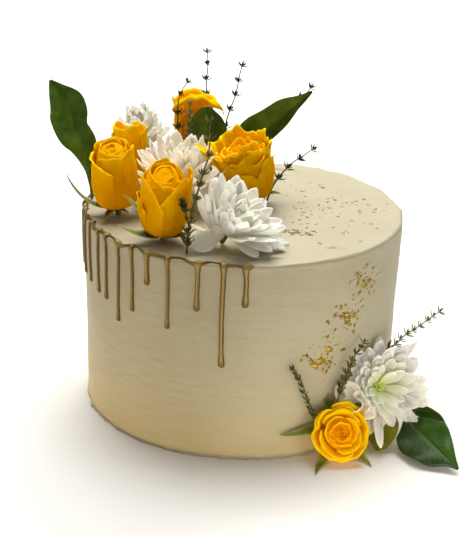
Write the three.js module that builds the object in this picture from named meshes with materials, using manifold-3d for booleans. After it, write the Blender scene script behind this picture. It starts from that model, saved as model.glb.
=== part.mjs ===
// Flower cake: a tall round buttercream cake with gold drips and gold flakes, dressed with yellow
// spray roses, white chrysanthemums, green leaves and sprigs of thyme.
// Millimetres, +Z up. The origin is the centre of the cake's flat underside, and the side that is
// meant to be seen faces -Y.

import * as THREE from 'three';
import { mergeVertices } from 'three/addons/utils/BufferGeometryUtils.js';
import Module from 'manifold-3d';

const wasm = await Module();
wasm.setup();

// Driving sizes of the cake
const CAKE = { height: 135, footRadius: 104.5, topRadius: 107, footEdge: 0.8, topEdge: 3, sides: 64 };

// Air that a stem, petal or leaf keeps to the cake
const GAP = 0.4;
// Clearance that petals and sepals keep to other flowers
const CLEAR = 1.0;

// Gold runs down the side: angle round the cake in degrees (front is -90, left is 180) and the
// height where each ends. Those past -173 degrees are on the side that faces away.
const DRIPS = [
  [-88.8, 107], [-96.2, 65], [-104.9, 102], [-115.8, 86], [-124, 113], [-130.8, 91], [-137.7, 80],
  [-145.1, 91], [-150.7, 92], [-158.7, 94], [-165.9, 95], [-173, 97], [-181, 84], [-189, 103],
  [-198, 92], [-206, 108], [-216, 88], [-227, 104], [-238, 96],
];
const DRIP = { neck: 1.5, bulb: 2.1, sunk: 0.5, sides: 5 };
// Gold line along the top edge between two angles
const RIM_LINE = { from: -86, to: -246, thick: 1.5, inset: 1.6, sway: 1.3, steps: 32, sides: 4 };

// Gold flakes that stand proud of the side, along a slanting band: angle and height at both ends
const FLAKE_BAND = { from: [-64, 56], to: [-39, 122], spread: 17, count: 20, small: 1.5, large: 3 };
// Gold flakes heaped on the top
const FLAKE_HEAP = { at: [36, -45], spread: [10, 4], count: 5, small: 1.0, large: 1.9 };

// Roses. foot is the lower end of the stem stub and up the way the flower points. tall is the height of
// the petals, belly the radius at their fullest, open the lean of the outer petals in degrees, curl
// their lip, fall how much shorter they are than the heart, and stub the stem below the calyx.
const ROSES = [
  {
    name: 'rose_left', foot: [-82.7, -22, 135.6], up: [-0.09, -0.06, 0.99], spin: 210, stub: 3,
    tall: 47, belly: 15, heart: 0.64, open: 0, curl: 20, fall: 0.2, petals: 5,
    sepals: [[180, 26, 72], [240, 20, 86], [330, 26, 56], [20, 20, 76], [90, 20, 70]],
  },
  {
    name: 'rose_back_left', foot: [-79.5, 34, 135.6], up: [-0.02, -0.04, 1], spin: 40, stub: 3,
    tall: 36, belly: 11.5, heart: 0.6, open: 12, curl: 30, fall: 0.04, petals: 4,
    sepals: [[150, 18, 70], [220, 18, 76], [290, 16, 70], [70, 18, 70]],
  },
  {
    name: 'rose_front', foot: [-51, -66, 135.6], up: [0.03, -0.1, 0.99], spin: 262, stub: 2,
    tall: 44, belly: 16, heart: 0.64, open: 0, curl: 26, fall: 0.12, petals: 5,
    sepals: [[198, 26, 88], [262, 22, 88], [340, 20, 88], [140, 22, 56], [50, 18, 70]],
  },
  {
    name: 'rose_tall', foot: [-38, 72, 135.6], up: [0.04, 0, 1], spin: 250, stub: 7,
    tall: 43, belly: 12.5, heart: 0.58, open: 30, curl: 60, fall: 0, petals: 5,
    sepals: [[200, 20, 74], [272, 20, 76], [344, 20, 70], [56, 20, 74], [128, 20, 70]],
  },
  {
    name: 'rose_ruffled', foot: [11, 10, 136.2], up: [-0.33, -0.2, 0.92], spin: 150, stub: 1,
    tall: 43, belly: 14, heart: 0.5, open: 22, curl: 30, fall: 0.02, petals: 7,
    sepals: [[190, 17, 66], [262, 17, 70], [334, 17, 64], [46, 17, 66], [118, 17, 70]],
  },
  {
    name: 'rose_low', foot: [63.8, -86, 12.6], up: [0.16, -0.89, 0.42], spin: 70, stub: 1,
    tall: 27, belly: 14, heart: 0.44, open: 26, curl: 30, fall: 0, petals: 6,
    sepals: [[112, 27, 64], [181, 33, 72], [249, 28, 42], [318, 29, 62], [40, 22, 60]],
  },
  {
    name: 'rose_low_back', foot: [104.6, -36, 25], up: [0.05, -0.38, 0.92], spin: 10, stub: 2,
    tall: 22, belly: 7.6, heart: 0.6, open: 8, curl: 30, fall: 0.05, petals: 3,
    sepals: [[150, 14, 70], [270, 14, 70], [30, 14, 70]],
  },
];
const PETAL = {
  thick: 0.9, layer: 1.3, rootRadius: 2.2, rootLean: 74, claw: 0.35, goldenTurn: 137.5, steps: 3,
  budSides: 7,
};
const CALYX = {
  radius: 3.4, tall: 3.5, sepalWide: 6, sepalThick: 1.1, stemRadius: 2, core: 2.9, sides: 6,
};

// Chrysanthemums. Each whorl is [petals, length, lift above the face in degrees, width], outside first.
const MUMS = [
  {
    name: 'mum_small', foot: [80, -86, 31], up: [-0.35, -0.8, 0.45], spin: 90, dome: 3.2, rise: 7,
    whorls: [[7, 17, 18, 7], [4, 11, 52, 5.4]],
  },
  {
    name: 'mum_front', foot: [-13.6, -71, 136.6], up: [0.42, -0.38, 0.82], spin: 12, dome: 6, rise: 12,
    whorls: [[9, 33, 14, 10], [8, 32, 36, 9.4], [6, 28, 58, 8]],
  },
  {
    name: 'mum_middle', foot: [-42, 3, 136], up: [-0.05, -0.12, 1], spin: 30, dome: 7, rise: 11,
    whorls: [[11, 34, 26, 8.6], [10, 34, 46, 8], [7, 33, 64, 7]],
  },
  {
    name: 'mum_back', foot: [-70, 64, 136], up: [-0.1, -0.04, 1], spin: 5, dome: 6, rise: 22,
    whorls: [[9, 25, 24, 8], [8, 25, 48, 7.4], [5, 25, 72, 6.4]],
  },
  {
    name: 'mum_low', foot: [86.4, -62, 34.7], up: [0.33, -0.84, 0.43], spin: 0, dome: 7, rise: 10,
    whorls: [[12, 30, 13, 7.6], [11, 27, 33, 7], [8, 20, 52, 6]],
  },
];
const MUM = { stemRadius: 1.8, domeTall: 5, petalThick: 1.3, sides: 6 };

// Leaves: the way the upper face looks, half widths left and right of the middle at even steps along
// the blade, the height of the edge's waves, and points along the middle of stalk and blade with the
// number of the one where the blade starts.
const LEAVES = [
  {
    name: 'leaf_left', face: [0.35, -0.92, 0.2], wave: 1.4, bladeFrom: 1,
    left: [0.8, 1.8, 5, 9, 12, 13.8, 14.2, 12, 7.5, 0.8],
    right: [0.8, 1.8, 4, 8.6, 10, 10, 11.6, 11.6, 6, 0.8],
    middle: [[-103, 8, 135.8], [-104.1, 8.6, 145], [-108.6, 11, 170.3], [-115.4, 12.5, 182.9],
      [-120.1, 14, 199], [-131.4, 15.5, 215.4]],
  },
  {
    name: 'leaf_right', face: [0.12, -0.95, 0.3], wave: 1.4, bladeFrom: 2,
    left: [3, 11, 15.4, 15.4, 13.6, 12, 10.6, 8, 4, 0.8],
    right: [2.4, 4.6, 6.2, 7, 7.2, 6.8, 5.2, 3, 2, 0.8],
    middle: [[-8, 52, 135.8], [-6, 52, 146], [-2, 51, 156], [9, 47, 170], [17, 44, 179.5],
      [26, 41, 189], [35, 38, 198], [44, 35, 207.8]],
  },
  {
    name: 'leaf_back', face: [0.05, -0.97, 0.2], wave: 1.2, bladeFrom: 2,
    left: [3, 6, 8.4, 9.6, 10.6, 11.6, 12, 11.2, 9, 3],
    right: [3, 7, 10, 12, 13, 13.2, 12.4, 10.4, 7, 3],
    middle: [[-22, 44, 135.8], [-23, 44, 144], [-24, 44.5, 152], [-26, 43, 174], [-27.5, 38, 194]],
  },
  {
    name: 'leaf_low_right', face: [-0.32, -0.36, 0.88], wave: 1.3, bladeFrom: 1,
    left: [1.5, 5, 9.4, 13, 15.6, 15.2, 12.6, 9, 4.6, 0.8],
    right: [1.5, 6, 11, 16, 18.4, 17.8, 15.6, 12.6, 5, 0.8],
    middle: [[111, -52, 14], [113, -62, 13.5], [117, -76, 12.5], [123, -90, 11.5],
      [130.8, -103, 9], [141.5, -116, 4]],
  },
  {
    name: 'leaf_low', face: [0.1, -0.9, 0.42], wave: 0.8, bladeFrom: 1,
    left: [1.5, 5, 8, 9.6, 10, 9.4, 8, 6, 3.4, 0.8],
    right: [1.5, 5, 8, 9.4, 9.6, 9, 7.6, 5.6, 3, 0.8],
    middle: [[92, -57, 24], [94, -62, 23], [94.6, -71, 19], [94.6, -80, 13.6], [93.4, -88, 7],
      [91, -92.5, 2.8]],
  },
];
const LEAF = { thick: 0.9, fold: 0.16, wide: 14, stalk: 1.1, waves: 3, acrossSteps: 2, alongSteps: 8 };

// Thyme: points along the stem, foot first, then the height along it where the leaf pairs start
const SPRIGS = [
  {
    name: 'thyme_back', start: 0.35,
    stem: [[-32, 94, 135.8], [-30, 94, 160], [-29.1, 95, 186], [-28.6, 95, 203], [-28.4, 95, 219]],
  },
  {
    name: 'thyme_back_right', start: 0.3,
    stem: [[-18, 59, 135.8], [-18, 60, 155], [-13.2, 61, 179], [-7.8, 61, 197.5], [-5.5, 61, 211],
      [-3.4, 60, 219]],
  },
  {
    name: 'thyme_back_left', start: 0.4,
    stem: [[-46.5, 46.5, 135.8], [-46.7, 47, 158], [-46.9, 47, 175.5], [-47.2, 47.5, 192],
      [-45.3, 48, 201], [-41.4, 48.5, 208]],
  },
  {
    name: 'thyme_middle', start: 0.35,
    stem: [[-39, 35.5, 135.8], [-39.4, 35, 160], [-38.7, 35.5, 181.4], [-38.3, 36, 197]],
  },
  {
    name: 'thyme_front', start: 0.12,
    stem: [[-34.75, -90.6, 135.8], [-34.4, -89, 147], [-32.8, -86, 158.4], [-29, -81, 173.8],
      [-26.5, -76, 184], [-23.1, -71, 193.5], [-22.9, -67, 204], [-23.2, -63, 215.5]],
  },
  {
    name: 'thyme_side', start: 0.3,
    stem: [[15.5, 13.5, 135.8], [21, 13, 150], [30.5, 13, 162.1], [39.6, 18, 167.6], [47.6, 20, 173]],
  },
  {
    name: 'thyme_back_tip', start: 0.55,
    stem: [[-2, 60, 135.8], [6, 57, 160], [22, 50, 186], [38, 42.5, 202], [44.8, 39.5, 211]],
  },
  {
    name: 'thyme_low_left', start: 0.12,
    stem: [[53.5, -96.4, 14], [51.6, -97, 26], [46.6, -98.8, 35.4], [42.8, -100.6, 45.3],
      [39.2, -101.8, 55], [34, -104.4, 65.8]],
  },
  {
    name: 'thyme_low_middle', start: 0.1,
    stem: [[63.8, -92, 37], [66.4, -90.5, 48.6], [69.9, -87.5, 57.9], [74.1, -84.5, 67.3],
      [80.8, -78, 75.1]],
  },
  {
    name: 'thyme_low_right', start: 0.2,
    stem: [[93.6, -54.4, 52], [96.6, -58, 60], [102.4, -58, 64], [108.7, -54, 69], [117.4, -50, 73.2],
      [125.1, -48, 79], [132, -45, 82.8]],
  },
];
const THYME = { stemRadius: 0.8, spacing: 10, leafLong: 3.8, leafRise: 3.6, cup: 2.2 };

const buttercream = new THREE.MeshStandardMaterial({ color: 0xe1d6ba, roughness: 0.6, metalness: 0 });
const roseYellow = new THREE.MeshStandardMaterial({ color: 0xf0ac0c, roughness: 0.55, metalness: 0 });
const mumWhite = new THREE.MeshStandardMaterial({ color: 0xf0eee6, roughness: 0.6, metalness: 0 });
const leafGreen = new THREE.MeshStandardMaterial({ color: 0x33540f, roughness: 0.45, metalness: 0 });
const thymeGreen = new THREE.MeshStandardMaterial({ color: 0x4a5230, roughness: 0.7, metalness: 0 });

const cake = new THREE.Group();

// Small helpers

const radians = THREE.MathUtils.degToRad;
const vector = (list) => new THREE.Vector3(list[0], list[1], list[2]);
const mix = THREE.MathUtils.lerp;
const ease = (value, from, to) => THREE.MathUtils.smoothstep(value, from, to);

// A number from 0 to 1 that looks random but is the same for the same whole number
function scatter(number) {
  const wide = Math.sin(number * 127.1 + 11.7) * 43758.5453;
  return wide - Math.floor(wide);
}

// A closed solid from corner positions and triangles, turned so that its faces look out
function solidFrom(position, index) {
  let volume = 0;
  const a = new THREE.Vector3();
  const b = new THREE.Vector3();
  const c = new THREE.Vector3();
  for (let i = 0; i < index.length; i += 3) {
    a.fromArray(position, index[i] * 3);
    b.fromArray(position, index[i + 1] * 3);
    c.fromArray(position, index[i + 2] * 3);
    volume += a.dot(b.cross(c));
  }
  const turned = volume < 0 ? index.slice().reverse() : index;
  return new wasm.Manifold(new wasm.Mesh({
    numProp: 3,
    vertProperties: new Float32Array(position),
    triVerts: new Uint32Array(turned),
  }));
}

// A closed solid from a three.js geometry
function solidOf(geometry) {
  geometry.deleteAttribute('normal');
  geometry.deleteAttribute('uv');
  const merged = mergeVertices(geometry, 1e-4);
  return solidFrom(Array.from(merged.attributes.position.array), Array.from(merged.index.array));
}

// Everything joined into one body: hollows that joining seals are filled and loose scraps dropped
function joined(solids) {
  const parts = wasm.Manifold.union(solids).decompose();
  return parts.reduce((best, part) => (part.volume() > best.volume() ? part : best));
}

// A named mesh on the cake, its shape in its own frame
function addMesh(name, solid, material, place) {
  const mesh = solid.getMesh();
  const geometry = new THREE.BufferGeometry();
  geometry.setAttribute('position', new THREE.BufferAttribute(new Float32Array(mesh.vertProperties), 3));
  geometry.setIndex(new THREE.BufferAttribute(new Uint32Array(mesh.triVerts), 1));
  geometry.computeVertexNormals();
  const piece = new THREE.Mesh(geometry, material);
  piece.name = name;
  place.decompose(piece.position, piece.quaternion, piece.scale);
  cake.add(piece);
}

// The frame of a flower: its own +Z points up the flower, and its origin is at the foot
function flowerPlace(flower) {
  const up = vector(flower.up).normalize();
  const turn = new THREE.Quaternion().setFromUnitVectors(new THREE.Vector3(0, 0, 1), up);
  return new THREE.Matrix4().compose(vector(flower.foot), turn, new THREE.Vector3(1, 1, 1));
}

// A thin closed sheet over a surface given by two numbers: across from -1 to 1, along from 0 to 1
function sheet(surface, acrossSteps, alongSteps, thick) {
  const position = [];
  const index = [];
  const step = 0.01;
  const width = acrossSteps + 1;
  const layer = width * (alongSteps + 1);
  for (const side of [0.5, -0.5]) {
    for (let j = 0; j <= alongSteps; j += 1) {
      for (let i = 0; i <= acrossSteps; i += 1) {
        const across = -1 + (2 * i) / acrossSteps;
        const along = j / alongSteps;
        const point = surface(across, along);
        const over = surface(across + step, along).sub(surface(across - step, along));
        const up = surface(across, along + step).sub(surface(across, Math.max(0, along - step)));
        point.addScaledVector(over.cross(up).normalize(), side * thick);
        position.push(point.x, point.y, point.z);
      }
    }
  }
  const quad = (a, b, c, d) => index.push(a, b, c, a, c, d);
  for (let j = 0; j < alongSteps; j += 1) {
    for (let i = 0; i < acrossSteps; i += 1) {
      const a = j * width + i;
      quad(a, a + 1, a + width + 1, a + width);
      index.push(layer + a, layer + a + width + 1, layer + a + 1);
      index.push(layer + a, layer + a + width, layer + a + width + 1);
    }
  }
  for (let i = 0; i < acrossSteps; i += 1) {
    const far = alongSteps * width + i;
    quad(i, layer + i, layer + i + 1, i + 1);
    quad(far + 1, layer + far + 1, layer + far, far);
  }
  for (let j = 0; j < alongSteps; j += 1) {
    const left = j * width;
    const right = left + acrossSteps;
    quad(left + width, layer + left + width, layer + left, left);
    quad(right, layer + right, layer + right + width, right + width);
  }
  return solidFrom(position, index);
}

// A narrow petal or sepal: three-cornered rings along a line, ending in a point. widths are half
// widths as shares of wide, and face is the way its upper side looks.
function blade(line, widths, wide, thick, face) {
  const position = [];
  const index = [];
  const last = line.length - 1;
  for (let j = 0; j < last; j += 1) {
    const forward = line[j + 1].clone().sub(line[Math.max(0, j - 1)]).normalize();
    const side = forward.clone().cross(face).normalize();
    const up = side.clone().cross(forward).normalize();
    const half = widths[j] * wide;
    for (const [across, lift] of [[half, 0.3], [-half, 0.3], [0, -0.7]]) {
      const point = line[j].clone().addScaledVector(side, across).addScaledVector(up, lift * thick);
      position.push(point.x, point.y, point.z);
    }
  }
  position.push(line[last].x, line[last].y, line[last].z);
  for (let j = 0; j < last; j += 1) {
    for (let i = 0; i < 3; i += 1) {
      const a = j * 3 + i;
      const b = j * 3 + ((i + 1) % 3);
      if (j < last - 1) {
        index.push(a, b, b + 3, a, b + 3, a + 3);
      } else {
        index.push(a, b, last * 3);
      }
    }
  }
  index.push(0, 2, 1);
  return solidFrom(position, index);
}

// A round stem along points
function stem(points, radius, steps, sides) {
  const outline = new THREE.Shape();
  for (let i = 0; i < sides; i += 1) {
    const angle = (2 * Math.PI * i) / sides;
    const x = radius * Math.cos(angle);
    const y = radius * Math.sin(angle);
    if (i === 0) {
      outline.moveTo(x, y);
    } else {
      outline.lineTo(x, y);
    }
  }
  outline.closePath();
  const extrudePath = new THREE.CatmullRomCurve3(points);
  return solidOf(new THREE.ExtrudeGeometry(outline, { extrudePath, steps, bevelEnabled: false }));
}

// A turned shape from a list of [radius, height]
function turned(profile, sides) {
  return solidOf(new THREE.LatheGeometry(profile.map(([r, z]) => new THREE.Vector2(r, z)), sides)
    .rotateX(Math.PI / 2));
}

// The cake

const sideRadius = (height) => mix(CAKE.footRadius, CAKE.topRadius, height / CAKE.height);

function cakeBody() {
  const { height, footRadius, topRadius, footEdge, topEdge, sides } = CAKE;
  const profile = [[0, 0], [footRadius - footEdge, 0], [footRadius, footEdge]];
  for (const angle of [0, 45, 90]) {
    const out = topRadius - topEdge + topEdge * Math.cos(radians(angle));
    profile.push([out, height - topEdge + topEdge * Math.sin(radians(angle))]);
  }
  profile.push([0, height]);
  return turned(profile, sides);
}

// One gold run: a slim turned drop that leans with the side, half sunk in the icing
function drip([angle, low], number) {
  const { neck, bulb, sunk, sides } = DRIP;
  const wide = mix(0.9, 1.12, scatter(number));
  const long = CAKE.height - CAKE.topEdge - low;
  const profile = [[0, 0], [bulb * wide * 0.8, bulb * 0.5], [bulb * wide, bulb * 1.6],
    [neck * wide, bulb * 4.5], [neck * wide, long], [0, long + 1]];
  const radius = sideRadius(low) - sunk;
  const lean = Math.atan2(CAKE.topRadius - CAKE.footRadius, CAKE.height);
  const place = new THREE.Matrix4()
    .makeRotationZ(radians(angle))
    .multiply(new THREE.Matrix4().makeTranslation(radius, 0, low))
    .multiply(new THREE.Matrix4().makeRotationY(lean));
  return turned(profile, sides).transform(place.elements);
}

// The gold line that joins the runs along the top edge
function rimLine() {
  const points = [];
  for (let i = 0; i <= RIM_LINE.steps; i += 1) {
    const angle = radians(mix(RIM_LINE.from, RIM_LINE.to, i / RIM_LINE.steps));
    const sway = RIM_LINE.sway * (Math.sin(angle * 23) + 0.6 * Math.sin(angle * 37 + 1));
    const radius = CAKE.topRadius - RIM_LINE.inset + 0.5 * sway;
    const fall = Math.max(0, 0.5 * sway);
    points.push(new THREE.Vector3(
      radius * Math.cos(angle),
      radius * Math.sin(angle),
      CAKE.height - 0.45 - fall,
    ));
  }
  return stem(points, RIM_LINE.thick, RIM_LINE.steps, RIM_LINE.sides);
}

// A crumpled flat chip of gold, lying with its own Z away from the icing
function flake(size, number) {
  const chip = new THREE.OctahedronGeometry(size);
  const long = mix(0.8, 1.5, scatter(number + 0.3));
  chip.rotateZ(2 * Math.PI * scatter(number + 0.6));
  chip.scale(long, 1 / long, 0.32);
  chip.rotateZ(Math.PI * scatter(number + 0.9));
  return solidOf(chip);
}

function sideFlakes() {
  const chips = [];
  for (let i = 0; i < FLAKE_BAND.count; i += 1) {
    const along = (i + scatter(i)) / FLAKE_BAND.count;
    const off = FLAKE_BAND.spread * (scatter(i + 100) + scatter(i + 200) - 1);
    const angle = radians(mix(FLAKE_BAND.from[0], FLAKE_BAND.to[0], along) + 0.45 * off);
    const height = mix(FLAKE_BAND.from[1], FLAKE_BAND.to[1], along) - 0.5 * off;
    const size = mix(FLAKE_BAND.small, FLAKE_BAND.large, scatter(i + 300) ** 2);
    const place = new THREE.Matrix4()
      .makeRotationZ(angle)
      .multiply(new THREE.Matrix4().makeTranslation(sideRadius(height), 0, height))
      .multiply(new THREE.Matrix4().makeRotationY(Math.PI / 2));
    chips.push(flake(size, i).transform(place.elements));
  }
  return chips;
}

function topFlakes() {
  const chips = [];
  for (let i = 0; i < FLAKE_HEAP.count; i += 1) {
    const x = FLAKE_HEAP.at[0] + FLAKE_HEAP.spread[0] * (2 * scatter(i + 400) - 1);
    const y = FLAKE_HEAP.at[1] + FLAKE_HEAP.spread[1] * (2 * scatter(i + 500) - 1);
    const size = mix(FLAKE_HEAP.small, FLAKE_HEAP.large, scatter(i + 600));
    const place = new THREE.Matrix4().makeTranslation(x, y, CAKE.height);
    chips.push(flake(size, i + 50).transform(place.elements));
  }
  return chips;
}

function wholeCake() {
  return joined([cakeBody(), ...DRIPS.map(drip), rimLine(), ...sideFlakes(), ...topFlakes()]);
}

// Roses

// How far out and how high the middle of a petal is at each step along it: it leaves the root
// leaning far out, stands up at the belly, leans by open towards the top and curls at the lip
function petalMiddle(petal) {
  const steps = 24;
  const rootShare = (petal.belly - PETAL.rootRadius) / (0.58 * petal.long);
  const line = [[PETAL.rootRadius, 0]];
  for (let i = 0; i < steps; i += 1) {
    const along = (i + 0.5) / steps;
    const lean = radians(PETAL.rootLean * (1 - ease(along, 0, rootShare))
      + petal.open * ease(along, 0.4, 0.9) + petal.curl * ease(along, 0.82, 1));
    const [out, high] = line[i];
    line.push([
      out + (petal.long / steps) * Math.sin(lean),
      high + (petal.long / steps) * Math.cos(lean),
    ]);
  }
  return line;
}

// The surface of a rose petal, wrapped round the flower's axis, narrow at its root and with its
// upper corners rounded
function petalSurface(petal) {
  const line = petalMiddle(petal);
  return (across, along) => {
    const corner = 1 - 0.2 * Math.abs(across) ** 3;
    const place = THREE.MathUtils.clamp(along * corner, 0, 1) * (line.length - 1);
    const low = Math.min(Math.floor(place), line.length - 2);
    const out = mix(line[low][0], line[low + 1][0], place - low);
    const high = mix(line[low][1], line[low + 1][1], place - low);
    const ruffle = petal.ruffle * Math.sin(7 * across + petal.turn) * along ** 4;
    const radius = out + ruffle;
    const angle = petal.turn + petal.wrap * across * mix(PETAL.claw, 1, ease(along, 0, 0.4));
    return new THREE.Vector3(
      radius * Math.cos(angle),
      radius * Math.sin(angle),
      high + petal.base + ruffle,
    );
  };
}

// The petals of a rose from the heart outwards, each a layer outside the last
function rosePetals(flower, count) {
  const petals = [];
  for (let k = 0; k < count; k += 1) {
    const outer = count > 1 ? k / (count - 1) : 1;
    const inside = count - 1 - k;
    petals.push({
      turn: radians(flower.spin - PETAL.goldenTurn * inside),
      wrap: radians(mix(80, 58, outer)),
      belly: flower.belly * mix(flower.heart, 1, outer) - PETAL.thick / 2,
      long: (flower.tall - PETAL.layer * inside) * mix(1.08, 1.08 - flower.fall, outer)
        * (1 + 0.004 * flower.open * outer),
      open: flower.open * mix(0.25, 1, outer),
      curl: flower.curl * outer,
      ruffle: (flower.open > 40 ? 0.9 : 0.3) * outer,
      base: flower.stub + CALYX.tall - 1 + PETAL.layer * inside,
    });
  }
  return petals;
}

// The tight heart of the flower, a solid bud on a short core that carries the petals
function roseHeart(flower) {
  const radius = flower.belly * flower.heart - PETAL.layer - 0.4;
  const base = flower.stub + CALYX.tall;
  const root = base + PETAL.layer * flower.petals;
  const top = base + flower.tall - 1;
  const tall = top - root;
  return turned([[0, base - 2], [CALYX.core, base - 2], [CALYX.core, root + 1],
    [radius * 0.9, root + tall * 0.3], [radius * 0.85, top - tall * 0.08], [radius * 0.4, top],
    [0, top - tall * 0.08]], PETAL.budSides);
}

// The green cup under a flower with the end of its stem
function calyx(flower) {
  const { radius, tall, stemRadius, sides } = CALYX;
  return turned([[0, 0], [stemRadius, 0], [stemRadius, flower.stub], [radius, flower.stub + 2],
    [radius + 0.6, flower.stub + tall], [0, flower.stub + tall + 1]], sides);
}

// A sepal that leaves the calyx at an angle round the flower and arches over. lean is how far its
// root leans from the flower's axis.
function sepal(flower, turn, long, lean, wider) {
  const line = [];
  const side = radians(turn);
  let out = 2;
  let high = flower.stub + 2.5;
  const steps = 2;
  for (let i = 0; i <= steps; i += 1) {
    line.push(new THREE.Vector3(out * Math.cos(side), out * Math.sin(side), high));
    const tilt = radians(lean + 14 * i);
    out += (long / steps) * Math.sin(tilt);
    high += (long / steps) * Math.cos(tilt);
  }
  const face = new THREE.Vector3(-Math.cos(side), -Math.sin(side), 0.6);
  return blade(line, [0.5, 1], (CALYX.sepalWide + wider) / 2, CALYX.sepalThick + wider, face);
}

// The first of several ways to place a piece that leaves what is in keepOut alone. make is called
// with each way and with the room to add round the piece.
function fitted(make, ways, keepOut) {
  const way = ways.find((each) => make(each, CLEAR).intersect(keepOut).volume() === 0);
  return way ? [make(way, 0)] : [];
}

function rose(flower, keepOut) {
  const solids = [calyx(flower), roseHeart(flower)];
  for (const petal of rosePetals(flower, flower.petals)) {
    solids.push(sheet(petalSurface(petal), PETAL.steps, PETAL.steps, PETAL.thick));
  }
  for (const [turn, long, lean] of flower.sepals) {
    const ways = [0, -8, 8, -16, 16, -24].map((change) => lean + change);
    solids.push(...fitted((way, room) => sepal(flower, turn, long, way, room), ways, keepOut));
  }
  return joined(solids);
}

// Chrysanthemums

// One petal: it leaves the dome, lifted from the face by lift degrees, and bends up a little
function mumPetal(flower, turn, long, lift, wide, thick) {
  const line = [];
  let out = flower.dome * 0.5;
  let high = flower.rise - 2 + 0.05 * lift;
  for (const share of [0.62, 0.38, 0]) {
    line.push(new THREE.Vector3(out * Math.cos(turn), out * Math.sin(turn), high));
    const tilt = radians(Math.min(lift + 12 * (0.6 - share), 88));
    out += long * share * Math.cos(tilt);
    high += long * share * Math.sin(tilt);
  }
  const slope = radians(lift);
  const face = new THREE.Vector3(
    -Math.cos(turn) * Math.sin(slope),
    -Math.sin(turn) * Math.sin(slope),
    Math.cos(slope) + 0.05,
  );
  return blade(line, [0.25, 1], wide / 2, thick, face);
}

// Ways to place a petal: as it grows, then lifted, then shorter
function petalWays(long, lift) {
  const ways = [];
  for (const share of [1, 0.85, 0.7, 0.55]) {
    for (const extra of [0, 10, 20, 30]) {
      ways.push([long * share, Math.min(lift + extra, 84)]);
    }
  }
  return ways;
}

function mum(flower, keepOut) {
  const { stemRadius, domeTall, petalThick, sides } = MUM;
  const { rise, dome } = flower;
  const solids = [turned([[0, 0], [stemRadius, 0], [stemRadius, rise - 5], [dome * 0.75, rise - 2.5],
    [dome, rise], [dome * 0.7, rise + domeTall * 0.75], [0, rise + domeTall]], sides)];
  flower.whorls.forEach(([count, long, lift, wide], whorl) => {
    for (let i = 0; i < count; i += 1) {
      const uneven = scatter(i + 17 * whorl + 3 * dome);
      const turn = radians(flower.spin + (360 * (i + 0.5 * (whorl % 2) + 0.3 * uneven)) / count);
      const ways = petalWays(long * mix(0.9, 1.05, uneven), lift + 9 * (uneven - 0.5));
      const make = ([reach, slope], room) => mumPetal(
        flower, turn, reach, slope, wide + room, petalThick + room,
      );
      solids.push(...fitted(make, ways, keepOut));
    }
  });
  return joined(solids);
}

// Leaves

// The surface of a leaf blade: folded a little along its midrib, wavy at the edges
function leafSurface(leaf) {
  const curve = new THREE.CatmullRomCurve3(leaf.middle.slice(leaf.bladeFrom).map(vector));
  const face = vector(leaf.face).normalize();
  return (across, along) => {
    const place = THREE.MathUtils.clamp(along, 0, 1);
    const point = curve.getPoint(place);
    const forward = curve.getTangent(place);
    const side = forward.clone().cross(face).normalize();
    const up = side.clone().cross(forward).normalize();
    const widths = across < 0 ? leaf.left : leaf.right;
    const step = Math.min(Math.floor(place * (widths.length - 1)), widths.length - 2);
    const half = mix(widths[step], widths[step + 1], place * (widths.length - 1) - step);
    const wave = leaf.wave * Math.sin(2 * Math.PI * LEAF.waves * place + 2 * across) * Math.abs(across);
    point.addScaledVector(side, half * across);
    return point.addScaledVector(up, LEAF.fold * half * Math.abs(across) + (wave * half) / LEAF.wide);
  };
}

function leafSolid(leaf) {
  const stalk = leaf.middle.slice(0, leaf.bladeFrom + 2).map(vector);
  return joined([
    sheet(leafSurface(leaf), LEAF.acrossSteps, LEAF.alongSteps, LEAF.thick),
    stem(stalk, LEAF.stalk, leaf.bladeFrom + 1, 4),
  ]);
}

// Thyme

// A sprig in one piece: four-cornered rings along the stem. At each whorl two facing corners run
// out and up into leaves, and from whorl to whorl the pairs of leaves cross.
function sprigSolid(sprig) {
  const { stemRadius, spacing, leafLong, leafRise, cup } = THYME;
  const curve = new THREE.CatmullRomCurve3(sprig.stem.map(vector));
  const long = curve.getLength();
  const count = Math.round((long * (1 - sprig.start)) / spacing);
  const rings = [[0, stemRadius, 0, -1]];
  for (let i = 0; i <= count; i += 1) {
    const foot = mix(sprig.start, 1 - 3 / long, i / count);
    const size = mix(1, 0.7, i / count);
    rings.push([foot, stemRadius, 0, -1]);
    rings.push([foot + 0.3 / long, leafLong * size, leafRise * size, i % 2]);
    rings.push([foot + cup / long, stemRadius * 0.9, 0, -1]);
  }
  const position = [];
  const index = [];
  const flat = new THREE.Vector3(1, 0.15, 0.1);
  rings.forEach(([along, out, rise, pair], row) => {
    const place = Math.min(along, 1);
    const forward = curve.getTangentAt(place);
    const side = forward.clone().cross(flat).normalize();
    const face = side.clone().cross(forward).normalize();
    for (let i = 0; i < 4; i += 1) {
      const angle = ((i + 0.5) * Math.PI) / 2;
      const leafy = pair === i % 2;
      const radius = pair < 0 || leafy ? out : stemRadius * 1.3;
      const point = curve.getPointAt(place).addScaledVector(forward, leafy ? rise : 0)
        .addScaledVector(side, radius * Math.cos(angle))
        .addScaledVector(face, radius * Math.sin(angle));
      position.push(point.x, point.y, point.z);
      if (row > 0) {
        const a = (row - 1) * 4 + i;
        const b = (row - 1) * 4 + ((i + 1) % 4);
        index.push(a, b, b + 4, a, b + 4, a + 4);
      }
    }
  });
  const top = (rings.length - 1) * 4;
  index.push(0, 2, 1, 0, 3, 2, top, top + 1, top + 2, top, top + 2, top + 3);
  return solidFrom(position, index);
}

// Assembly: each flower keeps clear of the cake, of the surface the cake stands on, and of what is
// already in place

const floorSlab = solidOf(new THREE.BoxGeometry(400, 400, 20).translate(0, 0, -10 + GAP));
const cakeSolid = wholeCake();
const placed = [floorSlab, cakeSolid];

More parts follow.
